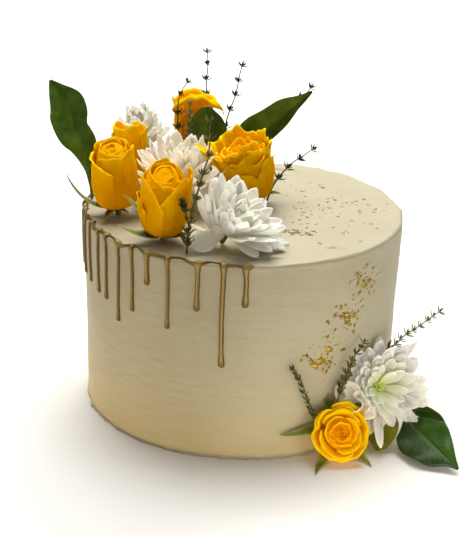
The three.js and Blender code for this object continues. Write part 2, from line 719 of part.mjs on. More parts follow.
function addPlain(piece, solid, material) {
  addMesh(piece.name, solid, material, new THREE.Matrix4());
  placed.push(solid);
}

function addFlower(flower, build, material) {
  const place = flowerPlace(flower);
  const nearby = wasm.Manifold.union(placed).transform(place.clone().invert().elements);
  const solid = build(flower, nearby);
  addMesh(flower.name, solid, material, place);
  placed.push(solid.transform(place.elements));
}

addMesh('cake', cakeSolid, buttercream, new THREE.Matrix4());
SPRIGS.forEach((sprig) => addPlain(sprig, sprigSolid(sprig), thymeGreen));
LEAVES.forEach((leaf) => addPlain(leaf, leafSolid(leaf), leafGreen));
ROSES.forEach((flower) => addFlower(flower, rose, roseYellow));
MUMS.forEach((flower) => addFlower(flower, mum, mumWhite));

export default cake;
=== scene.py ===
# Looks of a flower cake: a tall round buttercream cake with gold drips and gold flakes, dressed with
# yellow spray roses, white chrysanthemums, leaves and thyme. Sizes are in millimetres and degrees
# until a mesh is made. +Z is up, and the side that is meant to be seen faces -Y.

import math

import bmesh
import bpy
import numpy as np
from mathutils import Matrix, Vector
from mathutils.bvhtree import BVHTree


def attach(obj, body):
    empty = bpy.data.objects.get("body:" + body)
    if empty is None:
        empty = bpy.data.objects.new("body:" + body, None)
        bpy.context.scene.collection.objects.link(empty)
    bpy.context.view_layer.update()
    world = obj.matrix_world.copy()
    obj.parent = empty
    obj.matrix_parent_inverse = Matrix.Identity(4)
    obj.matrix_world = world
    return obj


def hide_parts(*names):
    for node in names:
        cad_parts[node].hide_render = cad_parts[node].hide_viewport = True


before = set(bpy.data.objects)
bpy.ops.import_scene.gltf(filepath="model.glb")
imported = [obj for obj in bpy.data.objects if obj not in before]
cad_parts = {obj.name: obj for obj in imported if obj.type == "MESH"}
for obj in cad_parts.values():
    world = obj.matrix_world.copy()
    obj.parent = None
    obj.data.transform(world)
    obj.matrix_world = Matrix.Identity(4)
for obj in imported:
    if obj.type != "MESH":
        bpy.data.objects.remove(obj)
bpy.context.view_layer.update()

MM = 0.001
GOLDEN_TURN = 137.5
FLOOR_GAP = 0.6

CAMERA = {"lens": 107.46, "sensor": 36, "target": (-5.86, 0, 91.15), "distance": 1095.8,
          "elevation": 21.632, "roll": 1.775}

# Square soft lights: name, place and aim in metres, size, power and colour
LIGHTS = [
    ("key", (-0.06, 0.54, 1.6), (0, 0, 0.1), 1.3, 40.5, (1, 0.985, 0.95)),
    ("backdrop", (0, 1.5, 1.3), (0, 1.5, 0), 1.0, 13, (1, 1, 1)),
    ("front", (0, -1.6, 0.9), (0, 0, 0.1), 1.0, 0.6, (1, 0.97, 0.92)),
    ("left", (-1.5, -0.5, 0.6), (0, 0, 0.14), 0.8, 1.0, (1, 0.97, 0.92)),
    ("right", (1.5, -0.4, 0.7), (0, 0, 0.14), 0.8, 1.3, (1, 0.97, 0.92)),
    ("low_left", (-0.4, -0.42, 0.03), (-0.05, -0.05, 0.06), 0.22, 0.3, (1, 0.6, 0.12)),
    ("low_right", (0.17, -0.22, 0.04), (0.085, -0.085, 0.035), 0.07, 0.075, (1, 0.96, 0.84)),
    ("low_front", (0.045, -0.25, 0.03), (0.08, -0.085, 0.035), 0.07, 0.048, (1, 0.96, 0.86)),
    ("bounce", (0, 0, 0.002), (0, 0.0001, 0.5), 0.34, 0.26, (1, 0.68, 0.2)),
]
STAGE = {"half": 14, "floor": (0.88, 0.87, 0.85, 1), "world": 0.13}

# Driving sizes of the cake
CAKE = {"height": 135, "foot_radius": 104.5, "top_radius": 107, "foot_edge": 0.8, "top_edge": 3}

# How far the icing rises: long and fine waves, strokes on the top, the swelling behind the rim, the lip
# at the rim and the torn foot
ICING = {"columns": 480, "wave": 0.3, "grain": 0.07, "stroke": 0.16, "swelling": 0.55, "lip": 0.75,
         "torn": 1.3}

# Gold runs: angle round the cake (front is -90, left is 180) and the height where each ends
DRIPS = [
    (-88.8, 107), (-96.2, 65), (-104.9, 102), (-115.8, 86), (-124, 113), (-130.8, 91), (-137.7, 80),
    (-145.1, 91), (-150.7, 92), (-158.7, 94), (-165.9, 95), (-173, 97), (-181, 84), (-189, 103),
    (-198, 92), (-206, 108), (-216, 88), (-227, 104), (-238, 96),
]
# Half a run's width at its neck and at its bulb, how proud it stands, how softly the runs flow together,
# how far the gold reaches under the icing, and the columns and the row step of its mesh
DRIP = {"neck": 1.4, "bulb": 1.9, "proud": 1.5, "soft": 0.55, "under": 1.0, "columns": 950, "step": 0.55}
# The gold line on the rim: the angles of its ends, half its width, how far in it lies and how it sways
RIM_LINE = {"from": -87, "to": -249, "half": 0.9, "inset": 1.2, "sway": 1.2}

# Ridges that the spatula left on the top: both ends, the height and how wide the slope is to the back
RIDGES = [
    ((-16, -95), (33, -94), 1.9, 5), ((8, -86), (31, -84), 1.6, 7), ((50, -71), (66, -76), 1.6, 3),
    ((-62, -80), (-34, -94), 1.4, 6), ((14, 84), (44, 84), 1.5, 6), ((16, 70), (34, 76), 1.3, 4),
]

# Gold flakes: a slanting band on the side, and specks on the top around a denser middle
FLAKE_BAND = {"from": (-64, 56), "to": (-39, 122), "spread": 17, "count": 230,
              "clusters": (0.12, 0.55, 0.86), "sizes": (0.6, 2.1), "larger": 1.7}
TOP_SPECKS = {"count": 125, "middle": (52, -4), "spread": (68, 62), "heap": (36, -45),
              "heap_count": 14, "heap_spread": (24, 9), "sizes": (0.8, 2.1), "larger": 0.9}
FLAKE = {"thick": 0.12, "over": 0.05, "dent": 0.14, "ragged": 0.7, "stretch": (0.7, 1.5)}

# Roses. heart and outer are (out, high) points up the side of the innermost and the outermost petals.
# loose is how uneven the petals are, drop how far the rims fall towards DROP_WAY for each 10 mm from the
# middle, warm how orange the heart is, amber how deep the yellow is all over, and deep how far the
# filled middle stays under the rims. Each row in petals is a petal of the outside: its angle, half its
# wrap, its rim's (out, high), how far its corners drop and how suddenly, the curl of its lip, how much
# one side is higher, and the share of it that is lip. Each row in sepals is an angle, length, lean at
# the root, arch and width. ROSE holds what an entry leaves out.
DROP_WAY = math.radians(270)
ROSE = {"drop": 0, "warm": 0.1, "amber": 0, "deep": 2}
ROSES = {
    "rose_left": {
        "foot": (-82.7, -22, 135.6), "up": (-0.09, -0.06, 0.99), "spin": 40, "stub": 3, "count": 6,
        "heart": [(1, 8), (2.6, 18), (3.8, 32), (4, 40), (3.4, 44), (2.2, 47)],
        "outer": [(2.6, 6.4), (11.4, 9), (14.4, 20), (13.6, 32), (11.2, 41), (8.4, 47)],
        "drop": 4.6, "amber": 0.25, "deep": 0.8, "curl": 16, "ruffle": 0.6, "wrap": 96, "loose": 1.4,
        "petals": [(95, 88, 10.2, 50, 0.06, 3, 14, 0, 0.12), (352, 50, 13.2, 46.5, 0.06, 4, 20, 0, 0.1),
            (282, 80, 9.6, 43, 0.06, 3, 10, 0, 0.1), (211, 62, 13.2, 41, 0.05, 4, 110, 0.15, 0.07)],
        "sepals": [(184, 38, 84, -66, 8), (238, 20, 88, 12, 6), (300, 10, 80, 20, 5),
            (20, 20, 76, 20, 5), (90, 20, 70, 20, 5)],
    },
    "rose_back_left": {
        "foot": (-79.5, 34, 135.6), "up": (-0.02, -0.04, 1), "spin": 60, "stub": 3, "count": 7,
        "heart": [(1, 8), (2, 16), (3, 26), (3.4, 33), (3, 37), (1.6, 39)],
        "outer": [(2.4, 6.4), (8.6, 9), (11.2, 18), (11.8, 28), (11.2, 35), (9.4, 41)],
        "curl": 16, "ruffle": 1.7, "wrap": 80, "loose": 1.2,
        "petals": [(140, 70, 10.2, 43, 0.08, 4, 14, 0, 0.12), (20, 60, 12.2, 44, 0.06, 4, 14, 0, 0.12),
            (266, 86, 9, 46.5, 0.02, 8, 12, 0, 0.1)],
        "sepals": [(150, 18, 70, 20, 5), (220, 18, 76, 20, 5), (290, 16, 70, 20, 5),
            (70, 18, 70, 20, 5)],
    },
    "rose_front": {
        "foot": (-51, -66, 135.6), "up": (0.03, -0.1, 0.99), "spin": 100, "stub": 2, "count": 7,
        "heart": [(1, 7), (2.4, 17), (3.6, 31), (3.6, 39), (3, 43), (1.8, 45)],
        "outer": [(2.6, 5.4), (11, 7.5), (15, 18), (14.4, 30), (12, 40), (9.2, 45.5)],
        "drop": 4.6, "amber": 0.45, "deep": 0.7, "curl": 20, "ruffle": 1.3, "wrap": 84, "loose": 2,
        "petals": [(95, 80, 10.4, 49, 0.1, 3, 16, 0, 0.12), (4, 34, 16.6, 46, 0.04, 6, 8, 0, 0.12),
            (188, 42, 16.6, 31, 0.25, 3, 20, 0, 0.12), (268, 60, 10.4, 41, 0.14, 3, 24, 0.04, 0.1),
            (326, 68, 14, 44.5, 0.36, 2, 16, 0, 0.12), (199, 72, 14.4, 46, 0.4, 2, 34, 0, 0.12)],
        "sepals": [(209, 28, 94, -46, 15), (284, 13, 92, -40, 10), (326, 19, 92, -44, 13),
            (166, 31, 54, -6, 10), (50, 18, 70, 20, 5)],
    },
    "rose_tall": {
        "foot": (-38, 72, 135.6), "up": (0.04, 0, 1), "spin": 250, "stub": 7, "count": 8,
        "heart": [(1, 12), (2.4, 22), (3.4, 34), (3.6, 42), (3, 46), (2, 48)],
        "outer": [(2.4, 10.4), (9, 13), (12, 24), (12.6, 34), (12.4, 43), (12.4, 50)],
        "drop": -1.5, "amber": 0.5, "curl": 40, "ruffle": 1.2, "wrap": 74, "loose": 1.5,
        "petals": [(80, 76, 12.4, 57, 0.1, 4, 60, 0, 0.12), (196, 40, 14.4, 54, 0.1, 4, 40, 0, 0.12),
            (280, 50, 10.8, 71.5, 0.06, 3, 158, 0.02, 0.27)],
        "sepals": [(200, 20, 74, 20, 5), (272, 20, 76, 20, 5), (344, 20, 70, 20, 5), (56, 20, 74, 20, 5),
            (128, 20, 70, 20, 5)],
    },
    "rose_ruffled": {
        "foot": (11, 10, 136.2), "up": (-0.33, -0.2, 0.92), "spin": 150, "stub": 1, "count": 16,
        "heart": [(1.4, 5), (3, 12), (4.6, 22), (5.4, 32), (5.2, 38), (4.4, 43.5)],
        "outer": [(2.6, 4.4), (8.6, 6.5), (13.2, 15), (15.4, 26), (16.4, 35), (18, 42.5)],
        "drop": -1.2, "amber": 0.1, "deep": 2.4, "curl": 50, "ruffle": 2.2, "wrap": 48, "loose": 3,
        "petals": [(90, 50, 17.4, 48, 0.06, 3, 40, 0, 0.12), (30, 46, 18.4, 45, 0.06, 3, 50, 0, 0.12),
            (188, 24, 22, 56, 0.1, 3, 60, 0, 0.16), (210, 44, 18.4, 47, 0.08, 3, 60, 0, 0.12),
            (145, 48, 17.6, 51, 0.08, 3, 40, 0, 0.12), (335, 46, 19, 44, 0.06, 3, 60, 0, 0.14),
            (268, 56, 15.6, 52, 0.06, 3, 40, 0, 0.12), (300, 40, 18, 47, 0.08, 3, 50, 0.05, 0.12),
            (236, 34, 18, 46, 0.08, 3, 44, 0.08, 0.12), (322, 30, 19, 36, 0.1, 3, 50, -0.06, 0.12),
            (262, 30, 18.4, 33, 0.1, 3, 50, 0.08, 0.1)],
        "sepals": [(190, 17, 66, 20, 5), (262, 17, 70, 20, 5), (334, 17, 64, 20, 5), (46, 17, 66, 20, 5),
            (118, 17, 70, 20, 5)],
    },
    "rose_low": {
        "foot": (63.8, -86, 12.6), "up": (0.16, -0.89, 0.42), "spin": 70, "stub": 1, "count": 10,
        "heart": [(1, 6), (1.6, 11), (2.2, 16), (2.4, 20), (2, 22.6), (1.2, 24)],
        "outer": [(2.6, 4.4), (7, 5), (9.6, 9), (10.8, 14), (12.8, 18.5), (16, 22.4)],
        "warm": 0.85, "amber": 0.1, "deep": 3.4, "curl": 40, "ruffle": 1.1, "wrap": 66, "loose": 2.4,
        "petals": [(30, 60, 15.8, 23, 0.1, 3, 50, 0, 0.16), (325, 60, 17, 22, 0.12, 3, 50, 0, 0.16),
            (184, 54, 18.6, 21.8, 0.16, 2.4, 50, 0, 0.16), (126, 56, 16.4, 21.8, 0.1, 3, 60, 0, 0.16),
            (72, 46, 19.4, 22.4, 0.2, 2, 50, 0, 0.16), (258, 44, 17.6, 20.8, 0.08, 3, 110, 0, 0.16)],
        "sepals": [(112, 34, 62, 22, 12), (181, 36, 66, 16, 11), (254, 34, 60, 16, 12),
            (314, 30, 64, 12, 12), (40, 24, 66, 20, 8)],
    },
    "rose_low_back": {
        "foot": (104.6, -36, 25), "up": (0.05, -0.38, 0.92), "spin": 10, "stub": 2, "count": 7,
        "heart": [(1, 6), (1.6, 11), (2.2, 17), (2.4, 21), (2, 24), (1, 25)],
        "outer": [(2.2, 5.4), (6, 7.5), (7.4, 13), (7.2, 18), (6.4, 23), (4.8, 25.5)],
        "amber": 0.5, "curl": 20, "ruffle": 0.4, "wrap": 80, "loose": 1,
        "petals": [],
        "sepals": [(150, 14, 70, 20, 5), (270, 14, 70, 20, 5), (30, 14, 70, 20, 5)],
    },
}
PETAL = {"thick": 0.45, "claw": 0.3, "lip": 0.1, "tuck": 0.4, "fold": 0.45, "crumple": 0.36,
         "inner_wrap": 150, "rows": 24, "cols": 23}
CALYX = {"radius": 3.4, "tall": 3.5, "stem_radius": 2}
SEPAL = {"thick": 0.6, "fold": 0.25, "rows": 14, "cols": 5}

# Chrysanthemums. Each whorl is (lift above the face, length, width), outside first. count is the number
# of petals, florets that of the small ones in the eye, cup how deep a petal's channel is, loose how
# uneven the petals are, blush how pink, and blunt how suddenly the tips close. gather is an angle and
# how much more the petals there are lifted than the rest, oval an angle and the length of the petals
# opposite to it. Each row in petals is one more petal: its angle, lift, length, width and bend. An entry
# with a node is more petals of that flower, in a frame of their own. MUM holds what an entry leaves out.
MUM = {"florets": 0, "blush": 0, "blunt": 0.6, "gather": (0, 0), "oval": (0, 1), "loose": 1.2}
MUMS = {
    "mum_small": {
        "foot": (80, -86, 31), "up": (-0.35, -0.8, 0.45), "spin": 90, "dome": 3.2, "rise": 7, "count": 0,
        "bend": 30, "cup": 0.5, "loose": 1, "blush": 0.6, "blunt": 0.5,
        "whorls": [(60, 8, 6)],
        "petals": [(92, 22, 17, 11, 30), (124, 14, 18, 11.6, 28), (156, 26, 16, 11, 34),
            (60, 34, 12, 8, 34), (322, 26, 15, 9, 12), (350, 40, 13, 9, 20), (282, 52, 9, 8, 24),
            (20, 62, 10, 8, 20)],
    },
    "mum_front": {
        "foot": (-13.6, -71, 136.6), "up": (0.38, -0.38, 0.84), "spin": 12, "dome": 6, "rise": 12,
        "count": 60, "bend": 24, "cup": 0.24, "gather": (212, 24),
        "whorls": [(20, 31, 11), (40, 30, 10.6), (60, 27, 9.6), (80, 21, 7)],
        "petals": [(222, -30, 23, 15, 10), (330, 0, 29, 11, 4), (310, 4, 26, 12, 8), (8, -4, 36, 7, 0),
            (350, -4, 34, 8, 0), (26, 2, 35, 7, 0)],
    },
    "mum_front_cup": {
        "node": "mum_front", "foot": (-13.6, -71, 136.6), "up": (-0.04, -0.05, 1), "spin": 0, "dome": 4,
        "rise": 4.6, "count": 0, "bend": 20, "cup": 0.34, "loose": 1, "blush": 0.1, "blunt": 0.5,
        "whorls": [(60, 25, 12)],
        "petals": [(240, 56, 24, 13.6, 28), (278, 62, 29, 11, 16), (204, 56, 29, 12, 20),
            (172, 62, 36, 11, 14), (222, 70, 34, 11, 8), (187, 24, 24, 7, 6), (256, 40, 17, 10, 40)],
    },
    "mum_middle": {
        "foot": (-42, 3, 136), "up": (-0.05, -0.12, 1), "spin": 30, "dome": 7, "rise": 11, "count": 72,
        "bend": 22, "cup": 0.25, "loose": 1.3, "blush": 0.7,
        "whorls": [(22, 34, 11), (46, 34, 10.4), (64, 33, 9), (84, 25, 7)],
        "petals": [(198, 0, 31, 9, 0), (208, -4, 29, 9, 0)],
    },
    "mum_back": {
        "foot": (-70, 64, 136), "up": (-0.1, -0.04, 1), "spin": 5, "dome": 6, "rise": 22, "count": 50,
        "bend": 16, "cup": 0.25, "blush": 0.1,
        "whorls": [(38, 19, 9), (54, 22, 9), (70, 26, 8.4), (84, 25, 7.4)],
        "petals": [(168, 24, 24, 6, 10), (250, 84, 32, 10, 6), (20, 82, 30, 9, 6), (130, 80, 29, 9, 6)],
    },
    "mum_low": {
        "foot": (86.4, -62, 34.7), "up": (0.33, -0.84, 0.43), "spin": 0, "dome": 7, "rise": 10,
        "count": 80, "florets": 36, "bend": 6, "cup": 0.2, "blunt": 0.46, "gather": (165, 8),
        "oval": (22, 0.6),
        "whorls": [(4, 33, 9.8), (14, 31, 9.2), (25, 26, 8), (38, 17, 6)],
        "petals": [(98, 4, 28, 8.4, 0), (58, 3, 37, 5, 0), (358, 14, 32, 9.6, 4), (10, 20, 31, 9, 4),
            (346, 22, 27, 9, 4), (283, 5, 37, 6.6, 0)],
    },
}
MUM_PETAL = {"thick": 0.4, "tip_from": 0.58, "tip_bend": 18, "lowest": 1, "steepest": 88, "rows": 13,
             "cols": 7}
MUM_STEM = {"radius": 1.8, "dome_tall": 5}
FLORET = {"lift": 88, "lean": 26, "reach": 4.4, "long": 4.2, "wide": 1.7, "bend": -20, "cup": 0.9}
# What is tried in turn for a petal that meets another piece: the share of its length, and more lift
MUM_TRIES = [(1, 0), (1, 10), (1, 20), (0.85, 0), (0.85, 14), (0.7, 0), (0.7, 20), (0.5, 10)]

# Leaves: the tone, the way each faces, half widths to both sides from foot to tip, and points along its
# middle. The blade starts at the point blade_from. LEAF holds what an entry leaves out.
LEAF = {"tone": "dark", "blade_from": 1, "teeth": 0.01}
LEAVES = {
    "leaf_left": {
        "face": (0.35, -0.92, 0.2), "wave": 1.6,
        "left": (0.8, 1.8, 5, 9, 12, 13.8, 14.2, 12, 7.5, 0.6),
        "right": (0.8, 1.8, 4, 8.6, 10, 10, 11.6, 11.6, 6, 0.6),
        "middle": [(-103, 8, 135.8), (-104.1, 8.6, 145), (-108.6, 11, 170.3), (-115.4, 12.5, 182.9),
            (-120.1, 14, 199), (-131.4, 15.5, 215.4)],
    },
    "leaf_right": {
        "tone": "light", "face": (0.12, -0.95, 0.3), "wave": 1.4, "blade_from": 2,
        "left": (3, 11, 15.4, 15.4, 13.6, 12, 10.6, 8, 4, 0.6),
        "right": (2.4, 4.6, 6.2, 7, 7.2, 6.8, 5.2, 3, 2, 0.6),
        "middle": [(-8, 52, 135.8), (-6, 52, 146), (-2, 51, 156), (9, 47, 170), (17, 44, 179.5),
            (26, 41, 189), (35, 38, 198), (44, 35, 207.8)],
    },
    "leaf_back": {
        "tone": "light", "face": (0.05, -0.97, 0.2), "wave": 1.2, "blade_from": 2, "teeth": 0.02,
        "left": (3, 6, 8.4, 9.6, 10.6, 11.6, 12, 11.2, 9, 3),
        "right": (3, 7, 10, 12, 13, 13.2, 12.4, 10.4, 7, 3),
        "middle": [(-22, 44, 135.8), (-23, 44, 144), (-24, 44.5, 152), (-26, 43, 174), (-27.5, 38, 194)],
    },
    "leaf_low_right": {
        "tone": "deep", "face": (-0.32, -0.36, 0.88), "wave": 1.3, "teeth": 0.025,
        "left": (1.5, 5, 9.4, 13, 15.6, 15.2, 12.6, 9, 4.6, 0.6),
        "right": (1.5, 6, 11, 16, 18.4, 17.8, 15.6, 12.6, 5, 0.6),
        "middle": [(111, -52, 14), (113, -62, 13.5), (117, -76, 12.5), (123, -90, 11.5),
            (130.8, -103, 9), (141.5, -116, 4)],
    },
    "leaf_low_right_lobe": {
        "node": "leaf_low_right", "tone": "deep", "face": (0.1, -0.9, 0.3), "wave": 0.5,
        "blade_from": 0, "teeth": 0.02,
        "left": (1, 2.8, 3.8, 4.2, 4, 3.6, 3.2, 2.8, 2, 0.6),
        "right": (1, 3, 4.4, 5.4, 5.6, 5.2, 4.6, 3.6, 2.2, 0.6),
        "middle": [(117, -52, 11), (121.4, -55, 14), (126.6, -59.4, 15.2), (132.4, -65, 14.6),
            (138, -70.6, 11.6)],
    },
    "leaf_low": {
        "tone": "olive", "face": (0.1, -0.9, 0.42), "wave": 0.8,
        "left": (1.5, 5, 8, 10, 11, 11, 10, 8, 5, 0.6),
        "right": (1.5, 5, 10, 14.6, 18.6, 20.6, 20, 15.6, 9, 0.6),
        "middle": [(92, -57, 24), (94, -62, 23), (94.6, -71, 19), (94.6, -80, 13.6), (93.4, -88, 7),
            (91, -92.5, 2.8)],
    },
}
BLADE = {"thick": 0.5, "fold": 0.16, "wide": 14, "stalk": 1.1, "waves": 3, "teeth": 26, "veins": 15,
         "rows": 56, "cols": 25}
LEAF_TONES = {
    "dark": ((56, 90, 12), (98, 134, 44)), "light": ((60, 90, 12), (104, 130, 44)),
    "deep": ((28, 56, 4), (54, 86, 26)), "olive": ((94, 100, 10), (128, 126, 34)),
}

# Thyme: the share of each stem that is bare at the foot, the kind, and points along it, foot first
SPRIGS = {
    "thyme_back": (0.35, "tall", [(-32, 94, 135.8), (-30, 94, 160), (-29.1, 95, 186), (-28.6, 95, 203),
        (-28.4, 95, 219)]),
    "thyme_back_right": (0.3, "tall", [(-18, 59, 135.8), (-18, 60, 155), (-13.2, 61, 179),
        (-7.8, 61, 197.5), (-5.5, 61, 211), (-3.4, 60, 219)]),
    "thyme_back_left": (0.4, "tall", [(-46.5, 46.5, 135.8), (-46.7, 47, 158), (-46.9, 47, 175.5),
        (-47.2, 47.5, 192), (-45.3, 48, 201), (-41.4, 48.5, 208)]),
    "thyme_middle": (0.35, "bushy", [(-39, 35.5, 135.8), (-39.4, 35, 160), (-38.7, 35.5, 181.4),
        (-38.3, 36, 197)]),
    "thyme_front": (0.06, "crowded", [(-34.75, -90.6, 135.8), (-34.4, -89, 147), (-32.8, -86, 158.4),
        (-29, -81, 173.8), (-26.5, -76, 184), (-23.1, -71, 193.5), (-22.9, -67, 204),
        (-23.2, -63, 215.5)]),
    "thyme_front_bud": (0.45, "bud", [(-34, -87, 153), (-36, -85.4, 159), (-37.4, -84.4, 164.6),
        (-38.6, -84, 170)]),
    "thyme_side": (0.3, "tall", [(15.5, 13.5, 135.8), (21, 13, 150), (30.5, 13, 162.1),
        (39.6, 18, 167.6), (47.6, 20, 173)]),
    "thyme_back_tip": (0.55, "tall", [(-2, 60, 135.8), (6, 57, 160), (22, 50, 186), (38, 42.5, 202),
        (44.8, 39.5, 211)]),
    "thyme_low_left": (0.12, "fine", [(53.5, -96.4, 14), (51.6, -97, 26), (46.6, -98.8, 35.4),
        (42.8, -100.6, 45.3), (39.2, -101.8, 55), (34, -104.4, 65.8)]),
    "thyme_low_middle": (0.1, "fine", [(63.8, -92, 37), (66.4, -90.5, 48.6), (69.9, -87.5, 57.9),
        (74.1, -84.5, 67.3), (80.8, -78, 75.1)]),
    "thyme_low_right": (0.2, "fine", [(93.6, -54.4, 52), (96.6, -58, 60), (102.4, -58, 64),
        (108.7, -54, 69), (117.4, -50, 73.2), (125.1, -48, 79), (132, -45, 82.8)]),
}
# Kinds of thyme: the stem's radius, the spacing of its whorls, the leaves' length, width and number in a
# whorl, the tone, and how the whorls crowd towards the foot. SPRIG holds what a kind leaves out.
SPRIG = {"tone": "dark", "crowd": 1}
THYME = {
    "tall": {"stem": 0.55, "spacing": 12, "leaf": 5.6, "wide": 2, "leaves": 8},
    "crowded": {"stem": 0.7, "spacing": 7.6, "leaf": 5.6, "wide": 2.1, "leaves": 8, "tone": "olive",
                "crowd": 1.7},
    "bushy": {"stem": 0.6, "spacing": 5, "leaf": 4.6, "wide": 1.7, "leaves": 7, "tone": "light"},
    "bud": {"stem": 0.6, "spacing": 2.6, "leaf": 4, "wide": 2.4, "leaves": 7},
    "fine": {"stem": 0.5, "spacing": 5.2, "leaf": 4.8, "wide": 1.7, "leaves": 6, "tone": "olive"},
}
THYME_TONES = {
    "dark": ((40, 42, 14), (86, 92, 36)), "light": ((84, 98, 42), (132, 146, 84)),
    "olive": ((64, 66, 22), (128, 126, 58)),
}
LEAFLET = {"thick": 0.3, "rows": 5, "cols": 3}


# Numbers

def scatter(number):
    """A number from 0 to 1 that looks random but is the same for the same number."""
    wide = np.sin(np.asarray(number, float) * 127.1 + 11.7) * 43758.5453
    return wide - np.floor(wide)


def mix(low, high, share):
    return low + (high - low) * share


def ease(value, low, high):
    """The smooth step: 0 below low, 1 above high, and 3t^2 - 2t^3 between them."""
    t = np.clip((value - low) / (high - low), 0, 1)
    return t * t * (3 - 2 * t)


def unit(vectors):
    return vectors / np.maximum(np.linalg.norm(vectors, axis=-1, keepdims=True), 1e-9)


def ripples(points, size, seed, octaves=3):
    """Soft uneven relief from about -1 to 1: plane waves in scattered directions added up, each octave
    half as long and half as high as the one before."""
    total = 0
    for k in range(octaves * 5):
        level = k // 5
        tilt = np.arcsin(2 * scatter(seed + k) - 1)
        turn = 2 * np.pi * scatter(seed + k + 0.5)
        way = np.array([np.cos(tilt) * np.cos(turn), np.cos(tilt) * np.sin(turn), np.sin(tilt)])
        phase = 2 * np.pi * scatter(seed + k + 0.25)
        total = total + 0.5 ** level * np.sin(points @ way * (2 * np.pi * 2 ** level / size) + phase)
    return total / 3


def cubic(a, b, c, d, t):
    """The smooth curve from b to c, whose slope at each is half the step between its neighbours."""
    return 0.5 * (2 * b + (c - a) * t + (2 * a - 5 * b + 4 * c - d) * t ** 2
                  + (3 * b - a - 3 * c + d) * t ** 3)


def spline(points, count):
    """Points evenly spaced by length along the smooth curve through the given ones."""
    given = np.array(points, float)
    ends = np.vstack([2 * given[0] - given[1], given, 2 * given[-1] - given[-2]])
    t = np.linspace(0, 1, 24, endpoint=False)[:, None, None]
    fine = cubic(ends[:-3], ends[1:-2], ends[2:-1], ends[3:], t)
    fine = np.vstack([fine.transpose(1, 0, 2).reshape(-1, given.shape[1]), given[-1:]])
    along = np.concatenate([[0], np.cumsum(np.linalg.norm(np.diff(fine, axis=0), axis=1))])
    wanted = np.linspace(0, along[-1], count)
    return np.stack([np.interp(wanted, along, column) for column in fine.T], -1)


def curve_at(points, place):
    """Points at places from 0 to 1 on smooth curves, one curve for each row of points."""
    first = 2 * points[:, :1] - points[:, 1:2]
    last = 2 * points[:, -1:] - points[:, -2:-1]
    ends = np.concatenate([first, points, last], axis=1)
    pieces = points.shape[1] - 1
    spot = np.maximum(place, 0) * pieces
    piece = np.minimum(spot.astype(int), pieces - 1)
    row = np.arange(len(points)).reshape((-1,) + (1,) * (spot.ndim - 1))
    return cubic(*(ends[row, piece + k] for k in range(4)), (spot - piece)[..., None])


def spun(x, y, turn):
    """x and y turned round the z axis."""
    return x * np.cos(turn) - y * np.sin(turn), x * np.sin(turn) + y * np.cos(turn)


def around(out, angle, high):
    """Points from how far out they are from the z axis, the angle round it and the height."""
    return np.stack(np.broadcast_arrays(out * np.cos(angle), out * np.sin(angle), high), -1)


def sheet_grid(rows, cols):
    """Places along a sheet, from 0 to 1, and across it, from -1 to 1."""
    return np.linspace(0, 1, rows)[:, None], np.linspace(-1, 1, cols)[None]


def length_of(path):
    return np.linalg.norm(np.diff(path, axis=0), axis=1).sum()


# Meshes: all faces are quads, in arrays of corner numbers

def grid_faces(count, rows, cols, ring=False):
    """The quads of count grids of rows by cols points, one grid after the other. With ring the last
    column joins the first."""
    j, i = np.meshgrid(np.arange(rows - 1), np.arange(cols if ring else cols - 1), indexing="ij")
    a = j * cols + i
    b = j * cols + (i + 1) % cols
    quads = np.stack([a, b, b + cols, a + cols], -1).reshape(-1, 4)
    return (quads[None] + (np.arange(count) * rows * cols)[:, None, None]).reshape(-1, 4)


def border_walls(faces, count):
    """Quads from the border of a sheet to the same border on a second sheet, whose point numbers are
    count higher. A border edge is one whose reverse belongs to no face."""
    edges = np.concatenate([faces[:, [i, (i + 1) % 4]] for i in range(4)]).astype(np.int64)
    border = edges[~np.isin(edges[:, 0] * count + edges[:, 1], edges[:, 1] * count + edges[:, 0])]
    a, b = border.T
    return np.stack([b, a, a + count, b + count], -1)


def closed(top, under, faces):
    """Two sheets with the same faces closed into one thin solid: the second one turned over, and walls
    along the border."""
    count = len(top)
    return np.vstack([top, under]), np.vstack([faces, faces[:, ::-1] + count, border_walls(faces, count)])


def shell(sheets, thick):
    """Sheets (count, rows, cols, 3) made thin solids: each moves half of thick to both sides along its
    normal, the cross product of its two directions."""
    count, rows, cols, _ = sheets.shape
    normal = unit(np.cross(np.gradient(sheets, axis=2), np.gradient(sheets, axis=1)))
    step = normal * np.broadcast_to(thick, sheets.shape[:3])[..., None] / 2
    faces = grid_faces(count, rows, cols)
    return closed((sheets + step).reshape(-1, 3), (sheets - step).reshape(-1, 3), faces)


def tube(path, radii, sides=8):
    """A round tube along points: rings at right angles to the path, the first and last drawn in to a
    point. radii holds one radius for each point."""
    forward = unit(np.gradient(path, axis=0))
    helper = np.array([0.83, 0.21, 0.11])
    side = unit(np.cross(forward, helper))
    other = np.cross(side, forward)
    turn = np.linspace(0, 2 * np.pi, sides, endpoint=False)[None, :, None]
    reach = np.array(radii, float)
    reach = np.concatenate([[0], reach, [0]])[:, None, None]
    path = np.vstack([path[:1], path, path[-1:]])
    side = np.vstack([side[:1], side, side[-1:]])[:, None]
    other = np.vstack([other[:1], other, other[-1:]])[:, None]
    rings = path[:, None] + reach * (side * np.cos(turn) + other * np.sin(turn))
    return rings.reshape(-1, 3), grid_faces(1, len(path), sides, ring=True)


def turned(profile, sides=20):
    """A shape turned round the z axis from (out, high) points that start and end on the axis."""
    out, high = np.array(profile, float).T
    turn = np.linspace(0, 2 * np.pi, sides, endpoint=False)
    rings = around(out[:, None], turn, high[:, None])
    return rings.reshape(-1, 3), grid_faces(1, len(out), sides, ring=True)


